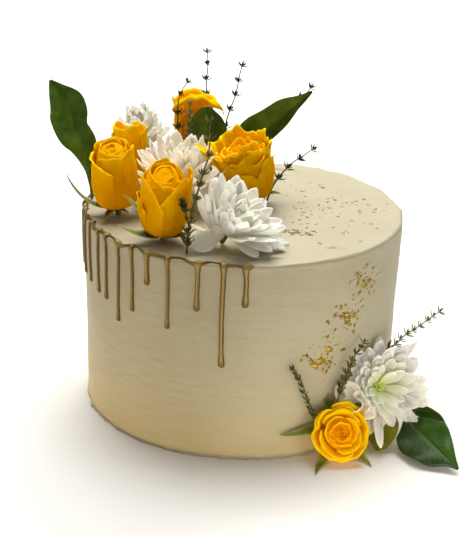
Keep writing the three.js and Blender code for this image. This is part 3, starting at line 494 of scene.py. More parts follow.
def joined(parts):
    """Several (points, faces) pairs as one."""
    starts = np.cumsum([0] + [len(points) for points, _ in parts[:-1]])
    faces = [part[1] + start for part, start in zip(parts, starts)]
    return np.vstack([part[0] for part in parts]), np.vstack(faces)


def petal_marks(shape, **own):
    """Marks for sheets (count, rows, cols) made solid: along and across from the grid, and own values,
    one for each sheet."""
    marks = dict(zip(("along", "across"), sheet_grid(*shape[1:])))
    for name, each in own.items():
        marks[name] = each[:, None, None]
    return {name: np.tile(np.broadcast_to(each, shape).reshape(-1), 2) for name, each in marks.items()}


def with_more(marks, count, more):
    """Marks with those of count more points, the same for all of them and 0 where more says nothing."""
    return {name: np.concatenate([each, np.full(count, more.get(name, 0.0))])
            for name, each in marks.items()}


def add_piece(name, shape, finish, nodes, marks=None):
    """A mesh piece on the cake. shape is (points in millimetres, quads), and marks holds arrays of one
    number for each point, for the material. Coinciding points are merged and all faces turned out."""
    points, faces = shape
    mesh = bpy.data.meshes.new(name)
    mesh.vertices.add(len(points))
    mesh.vertices.foreach_set("co", (points * MM).astype(np.float32).ravel())
    mesh.loops.add(faces.size)
    mesh.loops.foreach_set("vertex_index", faces.astype(np.int32).ravel())
    mesh.polygons.add(len(faces))
    mesh.polygons.foreach_set("loop_start", np.arange(0, faces.size, 4, dtype=np.int32))
    mesh.update(calc_edges=True)
    for key, values in (marks or {}).items():
        layer = mesh.attributes.new(key, "FLOAT", "POINT")
        layer.data.foreach_set("value", np.asarray(values, np.float32).ravel())
    work = bmesh.new()
    work.from_mesh(mesh)
    bmesh.ops.remove_doubles(work, verts=work.verts, dist=1e-6)
    bmesh.ops.recalc_face_normals(work, faces=work.faces)
    work.to_mesh(mesh)
    work.free()
    mesh.polygons.foreach_set("use_smooth", np.ones(len(mesh.polygons), bool))
    mesh.update()
    mesh.materials.append(finish)
    piece = bpy.data.objects.new(name, mesh)
    bpy.context.scene.collection.objects.link(piece)
    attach(piece, "root")
    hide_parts(*nodes)
    return piece


def in_place(points, flower):
    """Points turned so that +Z is the way the flower points, and moved to its foot."""
    turn = Vector((0, 0, 1)).rotation_difference(Vector(flower["up"]).normalized())
    return points @ np.array(turn.to_matrix()).T + np.array(flower["foot"])


# Materials

def srgb(red, green, blue):
    """A colour given as 0 to 255 on screen, as the linear values that a shader takes."""
    share = np.array([red, green, blue]) / 255
    linear = np.where(share <= 0.04045, share / 12.92, ((share + 0.055) / 1.055) ** 2.4)
    return (*linear.tolist(), 1)


def new_finish(name, values):
    """A material with one Principled shader, its sockets set from values."""
    finish = bpy.data.materials.new(name)
    finish.use_nodes = True
    shader = finish.node_tree.nodes["Principled BSDF"]
    for socket, value in values.items():
        shader.inputs[socket].default_value = value
    return finish, finish.node_tree, shader


def add_node(tree, kind, inputs, **settings):
    """A node with its settings and inputs. An input is a value or another node's output."""
    made = tree.nodes.new(kind)
    for setting, value in settings.items():
        setattr(made, setting, value)
    for socket, value in inputs.items():
        if isinstance(value, bpy.types.NodeSocket):
            tree.links.new(value, made.inputs[socket])
        else:
            made.inputs[socket].default_value = value
    return made


def mark(tree, name):
    return add_node(tree, "ShaderNodeAttribute", {}, attribute_name=name).outputs["Fac"]


def maths(tree, operation, first, second=0.0):
    return add_node(tree, "ShaderNodeMath", {0: first, 1: second}, operation=operation).outputs[0]


def colour_mix(tree, share, first, second, blend="MIX"):
    return add_node(tree, "ShaderNodeMix", {0: share, 6: first, 7: second}, data_type="RGBA",
                    blend_type=blend).outputs[2]


def ramp(tree, share, stops):
    """A colour ramp from (place, colour) stops."""
    made = add_node(tree, "ShaderNodeValToRGB", {"Fac": share})
    ends = made.color_ramp.elements
    ends[0].position, ends[0].color = stops[0]
    ends[1].position, ends[1].color = stops[-1]
    for place, colour in stops[1:-1]:
        ends.new(place).color = colour
    return made.outputs["Color"]


def object_point(tree, scale=(1, 1, 1)):
    """Object coordinates in millimetres, stretched by scale."""
    point = tree.nodes.new("ShaderNodeTexCoord").outputs["Object"]
    scale = tuple(each / MM for each in scale)
    return add_node(tree, "ShaderNodeMapping", {"Vector": point, "Scale": scale}).outputs[0]


def marks_point(tree, across, along, own):
    """A point from the piece's own marks, so that a pattern follows each petal."""
    return add_node(tree, "ShaderNodeCombineXYZ", {
        "X": maths(tree, "MULTIPLY", mark(tree, "across"), across),
        "Y": maths(tree, "MULTIPLY", mark(tree, "along"), along),
        "Z": maths(tree, "MULTIPLY", mark(tree, "own"), own),
    }).outputs[0]


def noise(tree, point, size, detail=3.0, rough=0.55):
    """Noise from 0 to 1 with lumps of about size, in the units of point."""
    return add_node(tree, "ShaderNodeTexNoise", {
        "Vector": point, "Scale": 1 / size, "Detail": detail, "Roughness": rough}).outputs["Fac"]


def bump(tree, shader, height, distance, strength=1.0):
    made = add_node(tree, "ShaderNodeBump", {
        "Height": height, "Distance": distance * MM, "Strength": strength})
    tree.links.new(made.outputs[0], shader.inputs["Normal"])


def times(tree, first, second):
    return maths(tree, "MULTIPLY", first, second)


def tinted(tree, tone, share, amount, colour):
    """A tone mixed towards a colour by share times amount."""
    return colour_mix(tree, times(tree, share, amount), tone, colour)


def covered(finish, tree, shader, tone, height, distance, strength):
    """The finish with its tone and its relief."""
    tree.links.new(tone, shader.inputs["Base Color"])
    bump(tree, shader, height, distance, strength)
    return finish


def icing_finish():
    """Cream buttercream: faint clouds of tone, spatula streaks round the cake and fine pores."""
    finish, tree, shader = new_finish("buttercream", {
        "Roughness": 0.55, "Subsurface Weight": 0.2, "Subsurface Radius": (1, 0.8, 0.5),
        "Subsurface Scale": 3 * MM, "Specular IOR Level": 0.25})
    clouds = noise(tree, object_point(tree), 45, 2)
    streaks = noise(tree, object_point(tree, (1, 1, 7)), 30, 3)
    pores = noise(tree, object_point(tree), 2.2, 4)
    tone = ramp(tree, clouds, [(0.3, srgb(179, 171, 143)), (0.7, srgb(187, 179, 153))])
    tone = tinted(tree, tone, streaks, 0.2, srgb(172, 160, 128))
    relief = maths(tree, "ADD", times(tree, streaks, 0.8), times(tree, pores, 0.18))
    return covered(finish, tree, shader, tone, relief, 0.9, 0.5)


def gold_finish():
    """Antique gold paint on sugar: satin metal, a little streaky, with painted shade along its edges and
    at the ends of the runs, and a painted highlight along the middle of each run and of the rim line."""
    finish, tree, shader = new_finish("antique_gold", {"Metallic": 0.5, "Roughness": 0.55})
    # Painted shade at the edges and the ends of the runs, rising to a painted highlight along their
    # middles.
    tone = ramp(tree, mark(tree, "painted_shade_to_highlight"), [
        (0, srgb(84, 66, 22)), (0.45, srgb(114, 92, 42)), (0.85, srgb(152, 126, 68)),
        (1, srgb(172, 146, 88))])
    tone = tinted(tree, tone, noise(tree, object_point(tree), 6, 3), 0.4, srgb(128, 104, 50))
    return covered(finish, tree, shader, tone, noise(tree, object_point(tree), 3, 2), 0.2, 0.4)


def flake_finish(name, metal, dark, middle, light):
    """Crumpled gold leaf: uneven from flake to flake."""
    finish, tree, shader = new_finish(name, {"Metallic": metal, "Roughness": 0.36})
    tone = ramp(tree, mark(tree, "own"), [(0, dark), (0.5, middle), (1, light)])
    return covered(finish, tree, shader, tone, noise(tree, object_point(tree), 0.7, 2), 0.2, 0.6)


def rose_finish():
    """Yellow petal: deeper at the claw, partly its own colour and partly painted shade, and lighter at the
    lip, partly its own colour and partly a painted highlight; orange in the heart, its own deeper colour
    together with painted warm shade in its hollows; with fine veins along it. A faint glow stands for the
    light that passes through the petals."""
    finish, tree, shader = new_finish("rose_petal", {
        "Roughness": 0.55, "Subsurface Weight": 0.35, "Subsurface Radius": (1, 0.5, 0.05),
        "Subsurface Scale": 2 * MM, "Specular IOR Level": 0, "Emission Strength": 0.055})
    veins = noise(tree, marks_point(tree, 9, 0.8, 30), 0.5, 3)
    blotches = noise(tree, object_point(tree), 7, 2)
    # From claw to lip: darker low down, partly painted shade, and lightest at the lip, partly a painted
    # highlight.
    tone = ramp(tree, mark(tree, "along"), [
        (0, srgb(228, 152, 0)), (0.5, srgb(238, 166, 0)), (0.82, srgb(254, 194, 0)),
        (0.96, srgb(255, 210, 4)), (1, srgb(255, 222, 36))])
    # The heart's orange is partly painted warm shade in its hollows.
    heart = maths(tree, "POWER", mark(tree, "inner"), 2.0)
    tone = tinted(tree, tone, heart, mark(tree, "warm"), srgb(250, 156, 14))
    tone = tinted(tree, tone, blotches, 0.24, srgb(222, 150, 0))
    tone = tinted(tree, tone, veins, 0.24, srgb(206, 132, 0))
    tone = colour_mix(tree, mark(tree, "amber"), tone, (0.9, 0.7, 0.6, 1), "MULTIPLY")
    tree.links.new(tone, shader.inputs["Emission Color"])
    relief = maths(tree, "ADD", times(tree, veins, 0.9), blotches)
    return covered(finish, tree, shader, tone, relief, 0.6, 0.6)


def mum_finish():
    """White petal: yellow-green in the eye and at its root, with long shallow grooves. A faint glow
    stands for the light that passes through the petals behind."""
    finish, tree, shader = new_finish("chrysanthemum_petal", {
        "Roughness": 0.6, "Subsurface Weight": 1, "Subsurface Radius": (1, 0.97, 0.88),
        "Subsurface Scale": 2 * MM, "Specular IOR Level": 0.15, "Emission Strength": 0.05})
    root = maths(tree, "SUBTRACT", 1.0, mark(tree, "along"))
    eye = times(tree, maths(tree, "POWER", mark(tree, "inner"), 3.0), 0.9)
    floret = maths(tree, "GREATER_THAN", mark(tree, "inner"), 1.5)
    tint = times(tree, maths(tree, "POWER", root, 1.8), 0.4)
    tint = maths(tree, "MAXIMUM", tint, times(tree, eye, maths(tree, "ADD", root, 0.12)))
    tone = colour_mix(tree, tint, srgb(240, 237, 225), srgb(206, 216, 122))
    tone = colour_mix(tree, floret, tone, srgb(214, 232, 96))
    tone = tinted(tree, tone, mark(tree, "blush"), 0.6, srgb(226, 202, 172))
    tree.links.new(tone, shader.inputs["Emission Color"])
    grooves = noise(tree, marks_point(tree, 7, 0.5, 40), 0.5, 2)
    return covered(finish, tree, shader, tone, grooves, 0.4, 0.35)


def leaf_finish(name, dark, light):
    """Satin leaf: mottled green, one half darker with painted shade, a pale midrib and paler side veins.
    """
    finish, tree, shader = new_finish(name, {
        "Roughness": 0.42, "Subsurface Weight": 0.1, "Subsurface Radius": (0.5, 1, 0.2),
        "Subsurface Scale": 1.5 * MM, "Specular IOR Level": 0.15})
    tone = ramp(tree, noise(tree, object_point(tree), 9, 4), [(0.3, dark), (0.7, light)])
    # Painted shade: the half on one side of the midrib is darker, as if the fold turned it from the light.
    half_painted_shade = ramp(tree, maths(tree, "ADD", mark(tree, "across"), 0.5), [
        (0.4, (1, 1, 1, 1)), (0.6, (0.62, 0.66, 0.6, 1))])
    tone = colour_mix(tree, 1.0, tone, half_painted_shade, "MULTIPLY")
    edge = maths(tree, "ABSOLUTE", mark(tree, "across"))
    beside = maths(tree, "SMOOTH_MIN", times(tree, edge, 14.0), 1.0)
    tone = tinted(tree, tone, maths(tree, "SUBTRACT", 1.0, beside), 0.35, srgb(120, 140, 74))
    tone = tinted(tree, tone, mark(tree, "vein"), 0.16, srgb(104, 126, 60))
    return covered(finish, tree, shader, tone, noise(tree, object_point(tree), 1.3, 3), 0.25, 0.5)


def thyme_finish(name, dark, light):
    """Small dull leaves, each a little different."""
    finish, tree, shader = new_finish(name, {"Roughness": 0.65, "Specular IOR Level": 0.3})
    tone = ramp(tree, mark(tree, "own"), [(0, dark), (1, light)])
    tone = tinted(tree, tone, noise(tree, object_point(tree), 1.2, 2), 0.4, dark)
    return covered(finish, tree, shader, tone, noise(tree, object_point(tree), 0.6, 2), 0.15, 0.5)


def toned_finishes(make, start, tones):
    """A finish for each pair of a dark and a light tone, by the name of the pair."""
    return {name: make(start + name, srgb(*dark), srgb(*light)) for name, (dark, light) in tones.items()}


def green_finish():
    """Green sepals and calyx, the sepals with pale edges."""
    finish, tree, shader = new_finish("sepal_green", {
        "Roughness": 0.55, "Subsurface Weight": 0.1, "Subsurface Scale": 1 * MM})
    tone = ramp(tree, noise(tree, object_point(tree), 5, 3), [
        (0.3, srgb(84, 98, 18)), (0.7, srgb(128, 142, 48))])
    edge = maths(tree, "POWER", maths(tree, "ABSOLUTE", mark(tree, "across")), 4.0)
    tone = tinted(tree, tone, edge, 0.7, srgb(186, 190, 122))
    return covered(finish, tree, shader, tone, noise(tree, object_point(tree), 0.9, 3), 0.2, 0.5)


# The cake

FLAT = CAKE["top_radius"] - CAKE["top_edge"]
BEND = CAKE["top_edge"] * np.pi / 2
SIDE = CAKE["height"] - CAKE["top_edge"] - CAKE["foot_edge"]


def cake_outline(arc):
    """Out, high and the outward normal's two parts, for lengths measured from the middle of the top
    along the outline: the flat top, a quarter circle at the edge, then the straight side."""
    turn = np.clip((arc - FLAT) / CAKE["top_edge"], 0, np.pi / 2)
    down = np.maximum(arc - FLAT - BEND, 0)
    lean = (CAKE["top_radius"] - CAKE["foot_radius"]) / SIDE
    out = np.minimum(arc, FLAT) + CAKE["top_edge"] * np.sin(turn) - down * lean
    high = CAKE["height"] - CAKE["top_edge"] * (1 - np.cos(turn)) - down
    return out, high, np.sin(turn), np.cos(turn)


def arc_at(high):
    """The length along the outline down to a height on the side."""
    return FLAT + BEND + CAKE["height"] - CAKE["top_edge"] - high


def spatula_ridges(flat):
    """The height of the ridges on the top: each steep towards the front, sloping away to the back, and
    fading out at both ends."""
    rise = 0
    for number, (start, end, high, slope) in enumerate(RIDGES):
        start, end = np.array(start, float), np.array(end, float)
        way = (end - start) / np.linalg.norm(end - start)
        spot = (flat[..., :2] - start) @ way / np.linalg.norm(end - start)
        sway = 1.2 * np.sin(5 * spot + number) + 0.4 * np.sin(13 * spot + 2 * number)
        off = (flat[..., :2] - start) @ np.array([-way[1], way[0]]) + sway
        fade = ease(spot, 0, 0.3) * ease(1 - spot, 0, 0.35)
        rise = rise + high * fade * ease(off, -0.7, 0.5) * np.exp(-np.maximum(off, 0) / slope)
    return rise


def on_cake(angle, arc, lift):
    """Points on the icing at angles and arcs, raised by lift and by the icing's own relief: soft waves
    everywhere, a crisp and lumpy lip at the rim, strokes and ridges on the top and torn icing at the
    foot."""
    out, high, normal_out, normal_up = (np.broadcast_to(each, np.broadcast(angle, arc).shape)
                                        for each in cake_outline(arc))
    flat = around(out, angle, high)
    swelling = np.exp(-((arc - FLAT - 2) / 3.4) ** 2) * (0.1 + ripples(flat, 34, 5))
    lip = np.exp(-((arc - FLAT - BEND / 2) / 1.5) ** 2) * (0.9 + 0.4 * ripples(flat, 26, 3))
    lip = ICING["swelling"] * swelling + ICING["lip"] * lip
    waves = ICING["wave"] * ripples(flat, 70, 9) + ICING["grain"] * ripples(flat * [1, 1, 3], 16, 21)
    stroke = flat - np.array([-60, 160, 0])
    strokes = np.sin(np.linalg.norm(stroke, axis=-1) / 3.3) * ease(ripples(flat, 60, 31), 0.1, 0.9)
    strokes = ICING["stroke"] * strokes
    torn = np.exp(-high / 2.2) * (0.5 + ICING["torn"] * np.maximum(ripples(flat, 12, 44), -0.3))
    torn = np.where(high < 20, torn, 0)
    ridges = spatula_ridges(flat) * ease(FLAT + 1 - arc, 0, 3)
    rise = lift + (waves + strokes * normal_up) * ease(arc, 4, 20) + ridges + lip + torn
    rise = np.where(high < CAKE["foot_edge"] + 0.01, np.minimum(rise, lift + torn), rise)
    return flat + around(rise * normal_out, angle, rise * normal_up)


def icing():
    """The cake: its outline carried round the axis, with the icing's relief, and closed underneath.
    Each run of rows is from, to and how many, closer where the relief is finer."""
    end = FLAT + BEND + SIDE
    runs = [(0, 64, 20), (65, 102, 54), (102.6, 111, 22), (112.5, end - 8, 76), (end - 7, end, 10)]
    arc = np.concatenate([np.linspace(*run) for run in runs])[:, None]
    angle = np.linspace(0, 2 * np.pi, ICING["columns"], endpoint=False)[None]
    rows = on_cake(angle, arc, 0)
    foot = rows[-1:].copy()
    foot[..., 2] = 0
    under = foot * np.array([0.5, 0])[:, None, None]
    rows = np.concatenate([rows, foot, under])
    return rows.reshape(-1, 3), grid_faces(1, len(rows), angle.size, ring=True)


def gold_drips():
    """The gold as one relief on the icing. The rim line and each run are rounded bars; their distances
    are joined by a soft minimum, so that they flow together, and the section is half an ellipse. Where
    there is no gold the sheet dips under the icing and is cut away."""
    low, high = np.radians(RIM_LINE["to"] - 3), np.radians(RIM_LINE["from"] + 3)
    angle = np.linspace(low, high, DRIP["columns"])[None]
    arc = np.arange(FLAT - 6, FLAT + BEND + SIDE - 62, DRIP["step"])[:, None]
    sway = RIM_LINE["sway"] * (np.sin(angle * 23) + 0.6 * np.sin(angle * 37 + 1))
    line = CAKE["top_radius"] - RIM_LINE["inset"] + 0.75 * sway
    span = np.radians(RIM_LINE["from"] - RIM_LINE["to"])
    past = np.maximum(np.abs(angle - (low + high) / 2) - span / 2, 0)
    thick = RIM_LINE["half"] + 0.2 * np.sin(angle * 41) + 0.15 * sway
    gaps = [np.hypot(arc - line, past * CAKE["top_radius"]) - thick]
    ends = np.zeros((len(arc), angle.size))
    for number, (turn, foot) in enumerate(DRIPS):
        wide = mix(0.88, 1.12, scatter(number))
        end = arc_at(foot) - DRIP["bulb"]
        wander = 0.5 * np.sin(arc / 17 + 5 * scatter(number + 40))
        off = (angle - np.radians(turn)) * CAKE["top_radius"] - wander * ease(arc, 108, 118)
        half = mix(DRIP["neck"], DRIP["bulb"], ease(arc, end - 9, end - 1)) * wide
        half = half + 0.7 * np.exp(-((arc - 107) / 4.0) ** 2)
        gaps.append(np.hypot(off, arc - np.clip(arc, line, end)) - half)
        ends = np.maximum(ends, ease(arc, end - 5, end + 1) * (np.abs(off) < 2 * half))
    soft = DRIP["soft"]
    gap = -soft * np.log(sum(np.exp(-np.clip(each, -8, 12) / soft) for each in gaps))
    share = np.clip(-gap / 1.5, 0, 1)
    dip = -0.5 * np.clip(gap / 0.5, 0, 1)
    lift = np.where(gap < 0, DRIP["proud"] * np.sqrt(1 - (1 - share) ** 2), dip)
    top = on_cake(angle, arc, lift).reshape(-1, 3)
    under = on_cake(angle, arc, 0 * lift - DRIP["under"]).reshape(-1, 3)
    faces = grid_faces(1, len(arc), angle.size)
    near = gap.ravel()[faces].min(axis=1) < 0.35
    kept = np.unique(faces[near])
    renumber = np.zeros(len(top), int)
    renumber[kept] = np.arange(len(kept))
    # The mark for painted shade and highlight: 0 at the edges, darker towards the ends of the runs, 1
    # along the middle.
    painted_shade_to_highlight = (ease(share, 0, 0.9) * (1 - 0.6 * ends)).ravel()[kept]
    return closed(top[kept], under[kept], renumber[faces[near]]), {"painted_shade_to_highlight": np.tile(painted_shade_to_highlight, 2)}


def flake_shapes(places, size, seed):
    """Crumpled flakes: each a patch of three by three points on its place's own plane, with uneven
    edges, raised and dented at random. places is (centres, two directions, normals)."""
    centre, first, second, normal = places
    count = len(centre)
    u, v = np.meshgrid([-1, 0, 1], [-1, 0, 1], indexing="ij")
    number = np.arange(count * 9).reshape(count, 3, 3)
    uneven = [scatter(number + seed + k) - 0.5 for k in (0.1, 0.2, 0.3)]
    turn = 2 * np.pi * scatter(np.arange(count) + seed)[:, None, None]
    long = mix(*FLAKE["stretch"], scatter(np.arange(count) + seed + 0.7))[:, None, None]
    a = (u + FLAKE["ragged"] * uneven[0]) * long
    b = (v + FLAKE["ragged"] * uneven[1]) / long
    size = size[:, None, None]
    x, y = (size * each / 2 for each in spun(a, b, turn))
    rise = FLAKE["over"] + size * FLAKE["dent"] * (uneven[2] + 0.5)
    sheets = (centre[:, None, None] + x[..., None] * first[:, None, None]
              + y[..., None] * second[:, None, None] + rise[..., None] * normal[:, None, None])
    own = np.repeat(scatter(np.arange(count) + seed + 0.9), 9)
    return shell(sheets, FLAKE["thick"]), {"own": np.tile(own, 2)}


def side_flakes():
    """Flakes on the side: they crowd along a slanting band and in three clusters."""
    count = FLAKE_BAND["count"]
    number = np.arange(count)
    along = scatter(number)
    cluster = np.array(FLAKE_BAND["clusters"])[number % 3]
    along = np.where(scatter(number + 0.4) < 0.55, cluster + 0.1 * (along - 0.5), along)
    off = FLAKE_BAND["spread"] * (scatter(number + 100) + scatter(number + 200) - 1)
    start, end = np.array(FLAKE_BAND["from"]), np.array(FLAKE_BAND["to"])
    angle = np.radians(mix(start[0], end[0], along) + 0.42 * off)
    high = mix(start[1], end[1], along) - 0.5 * off
    size = mix(*FLAKE_BAND["sizes"], scatter(number + 300) ** 2)
    size = size + FLAKE_BAND["larger"] * (number % 17 == 0)
    centre = on_cake(angle, arc_at(high), 0 * angle)
    normal = around(1, angle, 0)
    first = np.stack([-np.sin(angle), np.cos(angle), 0 * angle], -1)
    return flake_shapes((centre, first, np.cross(normal, first), normal), size, 700)


def top_specks():
    """Specks on the top: thinning out from a middle, with a small heap of larger ones."""
    count = TOP_SPECKS["count"]
    number = np.arange(count)
    middle, spread, heap = TOP_SPECKS["middle"], TOP_SPECKS["spread"], TOP_SPECKS["heap"]
    wide, deep = TOP_SPECKS["heap_spread"]
    reach = np.sqrt(-0.55 * np.log(1 - 0.98 * scatter(number + 0.3)))
    turn = 2 * np.pi * scatter(number + 50)
    x = middle[0] + spread[0] * reach * np.cos(turn) * 0.8
    y = middle[1] + spread[1] * reach * np.sin(turn) * 0.9
    heaped = number < TOP_SPECKS["heap_count"]
    x = np.where(heaped, heap[0] + wide * (scatter(number + 0.8) - 0.5), x)
    y = np.where(heaped, heap[1] + deep * (scatter(number + 0.6) - 0.5), y)
    inside = np.hypot(x, y) < FLAT - 4
    x, y, heaped = x[inside], y[inside], heaped[inside]
    size = mix(*TOP_SPECKS["sizes"], scatter(np.arange(len(x)) + 20) ** 1.5)
    size = size + np.where(heaped, TOP_SPECKS["larger"], 0)
    angle, arc = np.arctan2(y, x), np.hypot(x, y)
    centre = on_cake(angle, arc, 0 * angle)
    ones = np.ones(len(x))[:, None]
    return flake_shapes((centre, ones * [1, 0, 0], ones * [0, 1, 0], ones * [0, 0, 1]), size, 1900)


def build_cake():
    gold = flake_finish("gold_leaf", 0.7, srgb(136, 112, 24), srgb(182, 146, 34), srgb(220, 184, 74))
    dull = flake_finish("dull_gold_leaf", 0.1, srgb(132, 118, 76), srgb(160, 143, 90), srgb(188, 160, 96))
    add_piece("icing", icing(), icing_finish(), ["cake"])
    toppings = [("gold_drips", gold_drips(), gold_finish()), ("side_flakes", side_flakes(), gold),
                ("top_specks", top_specks(), dull)]
    for name, (shape, marks), finish in toppings:
        add_piece(name, shape, finish, ["cake"], marks=marks)


# Roses

def rose_sheets(petals):
    """Rose petals as sheets, one array for each value in petals.

    Up its middle a petal follows its own side, read as far as its lip reaches: 1 less the dropped
    corners, with slow waves. It wraps round the flower's axis, narrow at the claw, one side edge a
    little further out than the other, as in a spiral. The last part bends over by curl as an arc: with
    s from 0 to 1 along it and length l, it moves l(sin(curl s)/curl - s) along the petal and
    l(1 - cos(curl s))/curl outwards. Folds run up the petal and grow towards the lip.
    """
    along, across = sheet_grid(PETAL["rows"], PETAL["cols"])
    edge = np.abs(across)
    phase, ruffle = petals["phase"], petals["ruffle"]
    waves = np.sin(3 * across + phase) + 0.6 * np.sin(5 * across + 2 * phase)
    frill = waves + 0.7 * np.sin(11 * across + 3 * phase)
    lip = (1 - petals["corner"] * edge ** petals["power"] - petals["slant"] * across
           + 0.02 * np.exp(-(across / 0.2) ** 2) + 0.012 * ruffle * frill)
    middle = curve_at(petals["side"], along * lip)
    way = unit(curve_at(petals["side"], along * lip + 0.01) - middle)
    share = np.clip((along - 1 + petals["lip"]) / petals["lip"], 0, 1)
    curl = petals["curl"] * (0.8 + 0.4 * edge)
    length = petals["lip"] * petals["side"][:, -1, 1][:, None, None] * lip
    ahead = length * (np.sin(curl * share) / curl - share)
    over = length * (1 - np.cos(curl * share)) / curl
    out = middle[..., 0] + way[..., 0] * ahead + way[..., 1] * over
    high = middle[..., 1] + way[..., 1] * ahead - way[..., 0] * over
    angle = petals["turn"] + petals["wrap"] * mix(PETAL["claw"], 1, ease(along, 0, 0.3)) * across
    folds = np.sin(7 * across + phase) + 0.7 * np.sin(12 * across + 2.3 * phase)
    radius = out + PETAL["tuck"] * across + PETAL["fold"] * ruffle * folds * along ** 3
    radius = np.maximum(radius, 0.25)
    tilt = petals["drop"] * np.cos(angle - DROP_WAY) * radius / 10 * ease(along, 0.3, 1)
    height = high - tilt + 0.3 * ruffle * waves * along ** 4
    sheets = around(radius, angle, height)
    crumple = ripples(sheets + 40 * phase[..., None], 13, 61, 2) * ease(along, 0.1, 0.5)
    return sheets + around(PETAL["crumple"] * crumple * ease(radius, 3, 8), angle, 0)


def rose_petals(flower, seed):
    """The values of a rose's petals, heart first, each a golden turn from the last, then the petals of
    the outside one by one. Sides go evenly from the heart's to the outer ones."""
    count = flower["count"]
    number = np.arange(count)
    share = (number / (count - 1)) ** 0.85

    def uneven(key, size):
        return flower["loose"] * size * (2 * scatter(number + seed + key) - 1)

    heart, outer = np.array(flower["heart"], float), np.array(flower["outer"], float)
    values = {
        "turn": flower["spin"] + GOLDEN_TURN * number + uneven(0.1, 9),
        "wrap": mix(PETAL["inner_wrap"], flower["wrap"], ease(share, 0, 0.5)),
        "side": mix(heart, outer, share[:, None, None]) * (1 + uneven(0.2, 0.02))[:, None, None],
        "corner": 0.06 + 0.06 * share + uneven(0.3, 0.03),
        "power": 3 + 0 * share,
        "curl": np.maximum(flower["curl"] * mix(0.3, 1, share) * (1 + uneven(0.4, 0.35)), 3),
        "slant": uneven(0.5, 0.03),
        "ruffle": flower["ruffle"] * mix(0.5, 1, share) * (1 + uneven(0.6, 0.4)),
        "drop": flower["drop"] + 0 * share,
        "lip": PETAL["lip"] + 0 * share,
    }
    if flower["petals"]:
        given = np.array(flower["petals"], float).T
        turn, wrap, rim_out, rim_high, corner, power, curl, slant, lip = given
        sides = np.repeat(outer[None], len(turn), axis=0)
        grow = mix(1.02, 1.06, np.linspace(0, 1, len(turn)))
        sides[:, 1:, 0] = sides[:, 1:, 0] * grow[:, None]
        rim = np.stack([rim_out, rim_high], -1)
        for point, along in ((3, 0.36), (4, 0.7), (5, 1)):
            sides[:, point] = mix(sides[:, 2], rim, along)
        sides[:, 3:5, 0] += 0.6
        given = {"turn": turn, "wrap": wrap, "side": sides, "corner": corner, "power": power,
                 "curl": curl, "slant": slant, "ruffle": flower["ruffle"] + 0 * turn, "drop": 0 * turn,
                 "lip": lip}
        values = {key: np.concatenate([value, given[key]]) for key, value in values.items()}
    for key in ("turn", "wrap", "curl"):
        values[key] = np.radians(values[key])
    total = len(values["turn"])
    values["phase"] = 6.3 * scatter(np.arange(total) + seed + 0.8)
    inner = np.concatenate([1 - share, np.zeros(total - count)])
    return {key: value if key == "side" else value[:, None, None] for key, value in values.items()}, inner


def rose_core(flower):
    """The filled middle of a rose, where the innermost petals are packed: it runs up inside the outer
    petals and ends under the rims, tilted like them."""
    outer, heart = np.array(flower["outer"], float), np.array(flower["heart"], float)
    side = outer * [0.84, 1]
    side[-1] = mix(outer[-2], outer[-1], 0.5) * [0.8, 1]
    high = heart[-1, 1] - flower["deep"]
    top = [(side[-1, 0] * 0.9, outer[-1, 1] - flower["deep"]), (heart[-1, 0] + 1, high), (0, high)]
    points, faces = turned([(0, side[0, 1]), *side[:-1], *top], 40)
    tilt = flower["drop"] / 10 * (points @ [math.cos(DROP_WAY), math.sin(DROP_WAY), 0])
    points[:, 2] -= tilt * ease(points[:, 2], 0.5 * heart[-1, 1], heart[-1, 1])
    return in_place(points, flower), faces


def rose_bloom(flower, seed):
    """All petals of a rose as thin solids in place, thinner towards the lip, round its core."""
    petals, inner = rose_petals(flower, seed)
    sheets = in_place(rose_sheets(petals), flower)
    thin = PETAL["thick"] * mix(1, 0.8, np.linspace(0, 1, PETAL["rows"]))[None, :, None]
    core = rose_core(flower)
    marks = petal_marks(sheets.shape[:3], inner=inner, own=scatter(np.arange(len(inner)) + seed))
    marks = with_more(marks, len(core[0]), {"along": 0.7, "inner": 0.7, "own": 0.5})
    for name in ("warm", "amber"):
        marks[name] = np.full(len(marks["along"]), flower[name])
    return joined([shell(sheets, thin), core]), marks


def sepal_sheet(flower, turn, long, lean, arch, wide):
    """A sepal: its middle starts at lean and bends by arch; it widens fast, then runs out into a long
    point, and it is folded along its middle."""
    along, across = sheet_grid(SEPAL["rows"], SEPAL["cols"])
    tilt = np.radians(lean + arch * along)
    step = long / (SEPAL["rows"] - 1)
    out = 2 + step * np.cumsum(np.sin(tilt), axis=0)
    high = flower["stub"] + 2 + step * np.cumsum(np.cos(tilt), axis=0)
    half = wide / 2 * (0.6 + 0.4 * ease(along, 0, 0.25)) * (1 - along ** 1.4) + 0.12
    side = np.radians(turn) + 0.15 * np.sin(3 * along + turn)
    fold = SEPAL["fold"] * half * np.abs(across)
    x, y = spun(out - fold * np.cos(tilt), half * across, side)
    return np.stack([x, y, high + fold * np.sin(tilt)], -1)


def over_floor(points):
    """Points kept over the floor: the height runs out softly just over it, and what would be deeper is
    moved forward instead."""
    lifted = FLOOR_GAP * (1 + np.log1p(np.exp(points[..., 2] / FLOOR_GAP - 1)))
    forward = 0.8 * (lifted - points[..., 2]) * (points[..., 2] < FLOOR_GAP)
    return np.stack([points[..., 0], points[..., 1] - forward, lifted], -1)


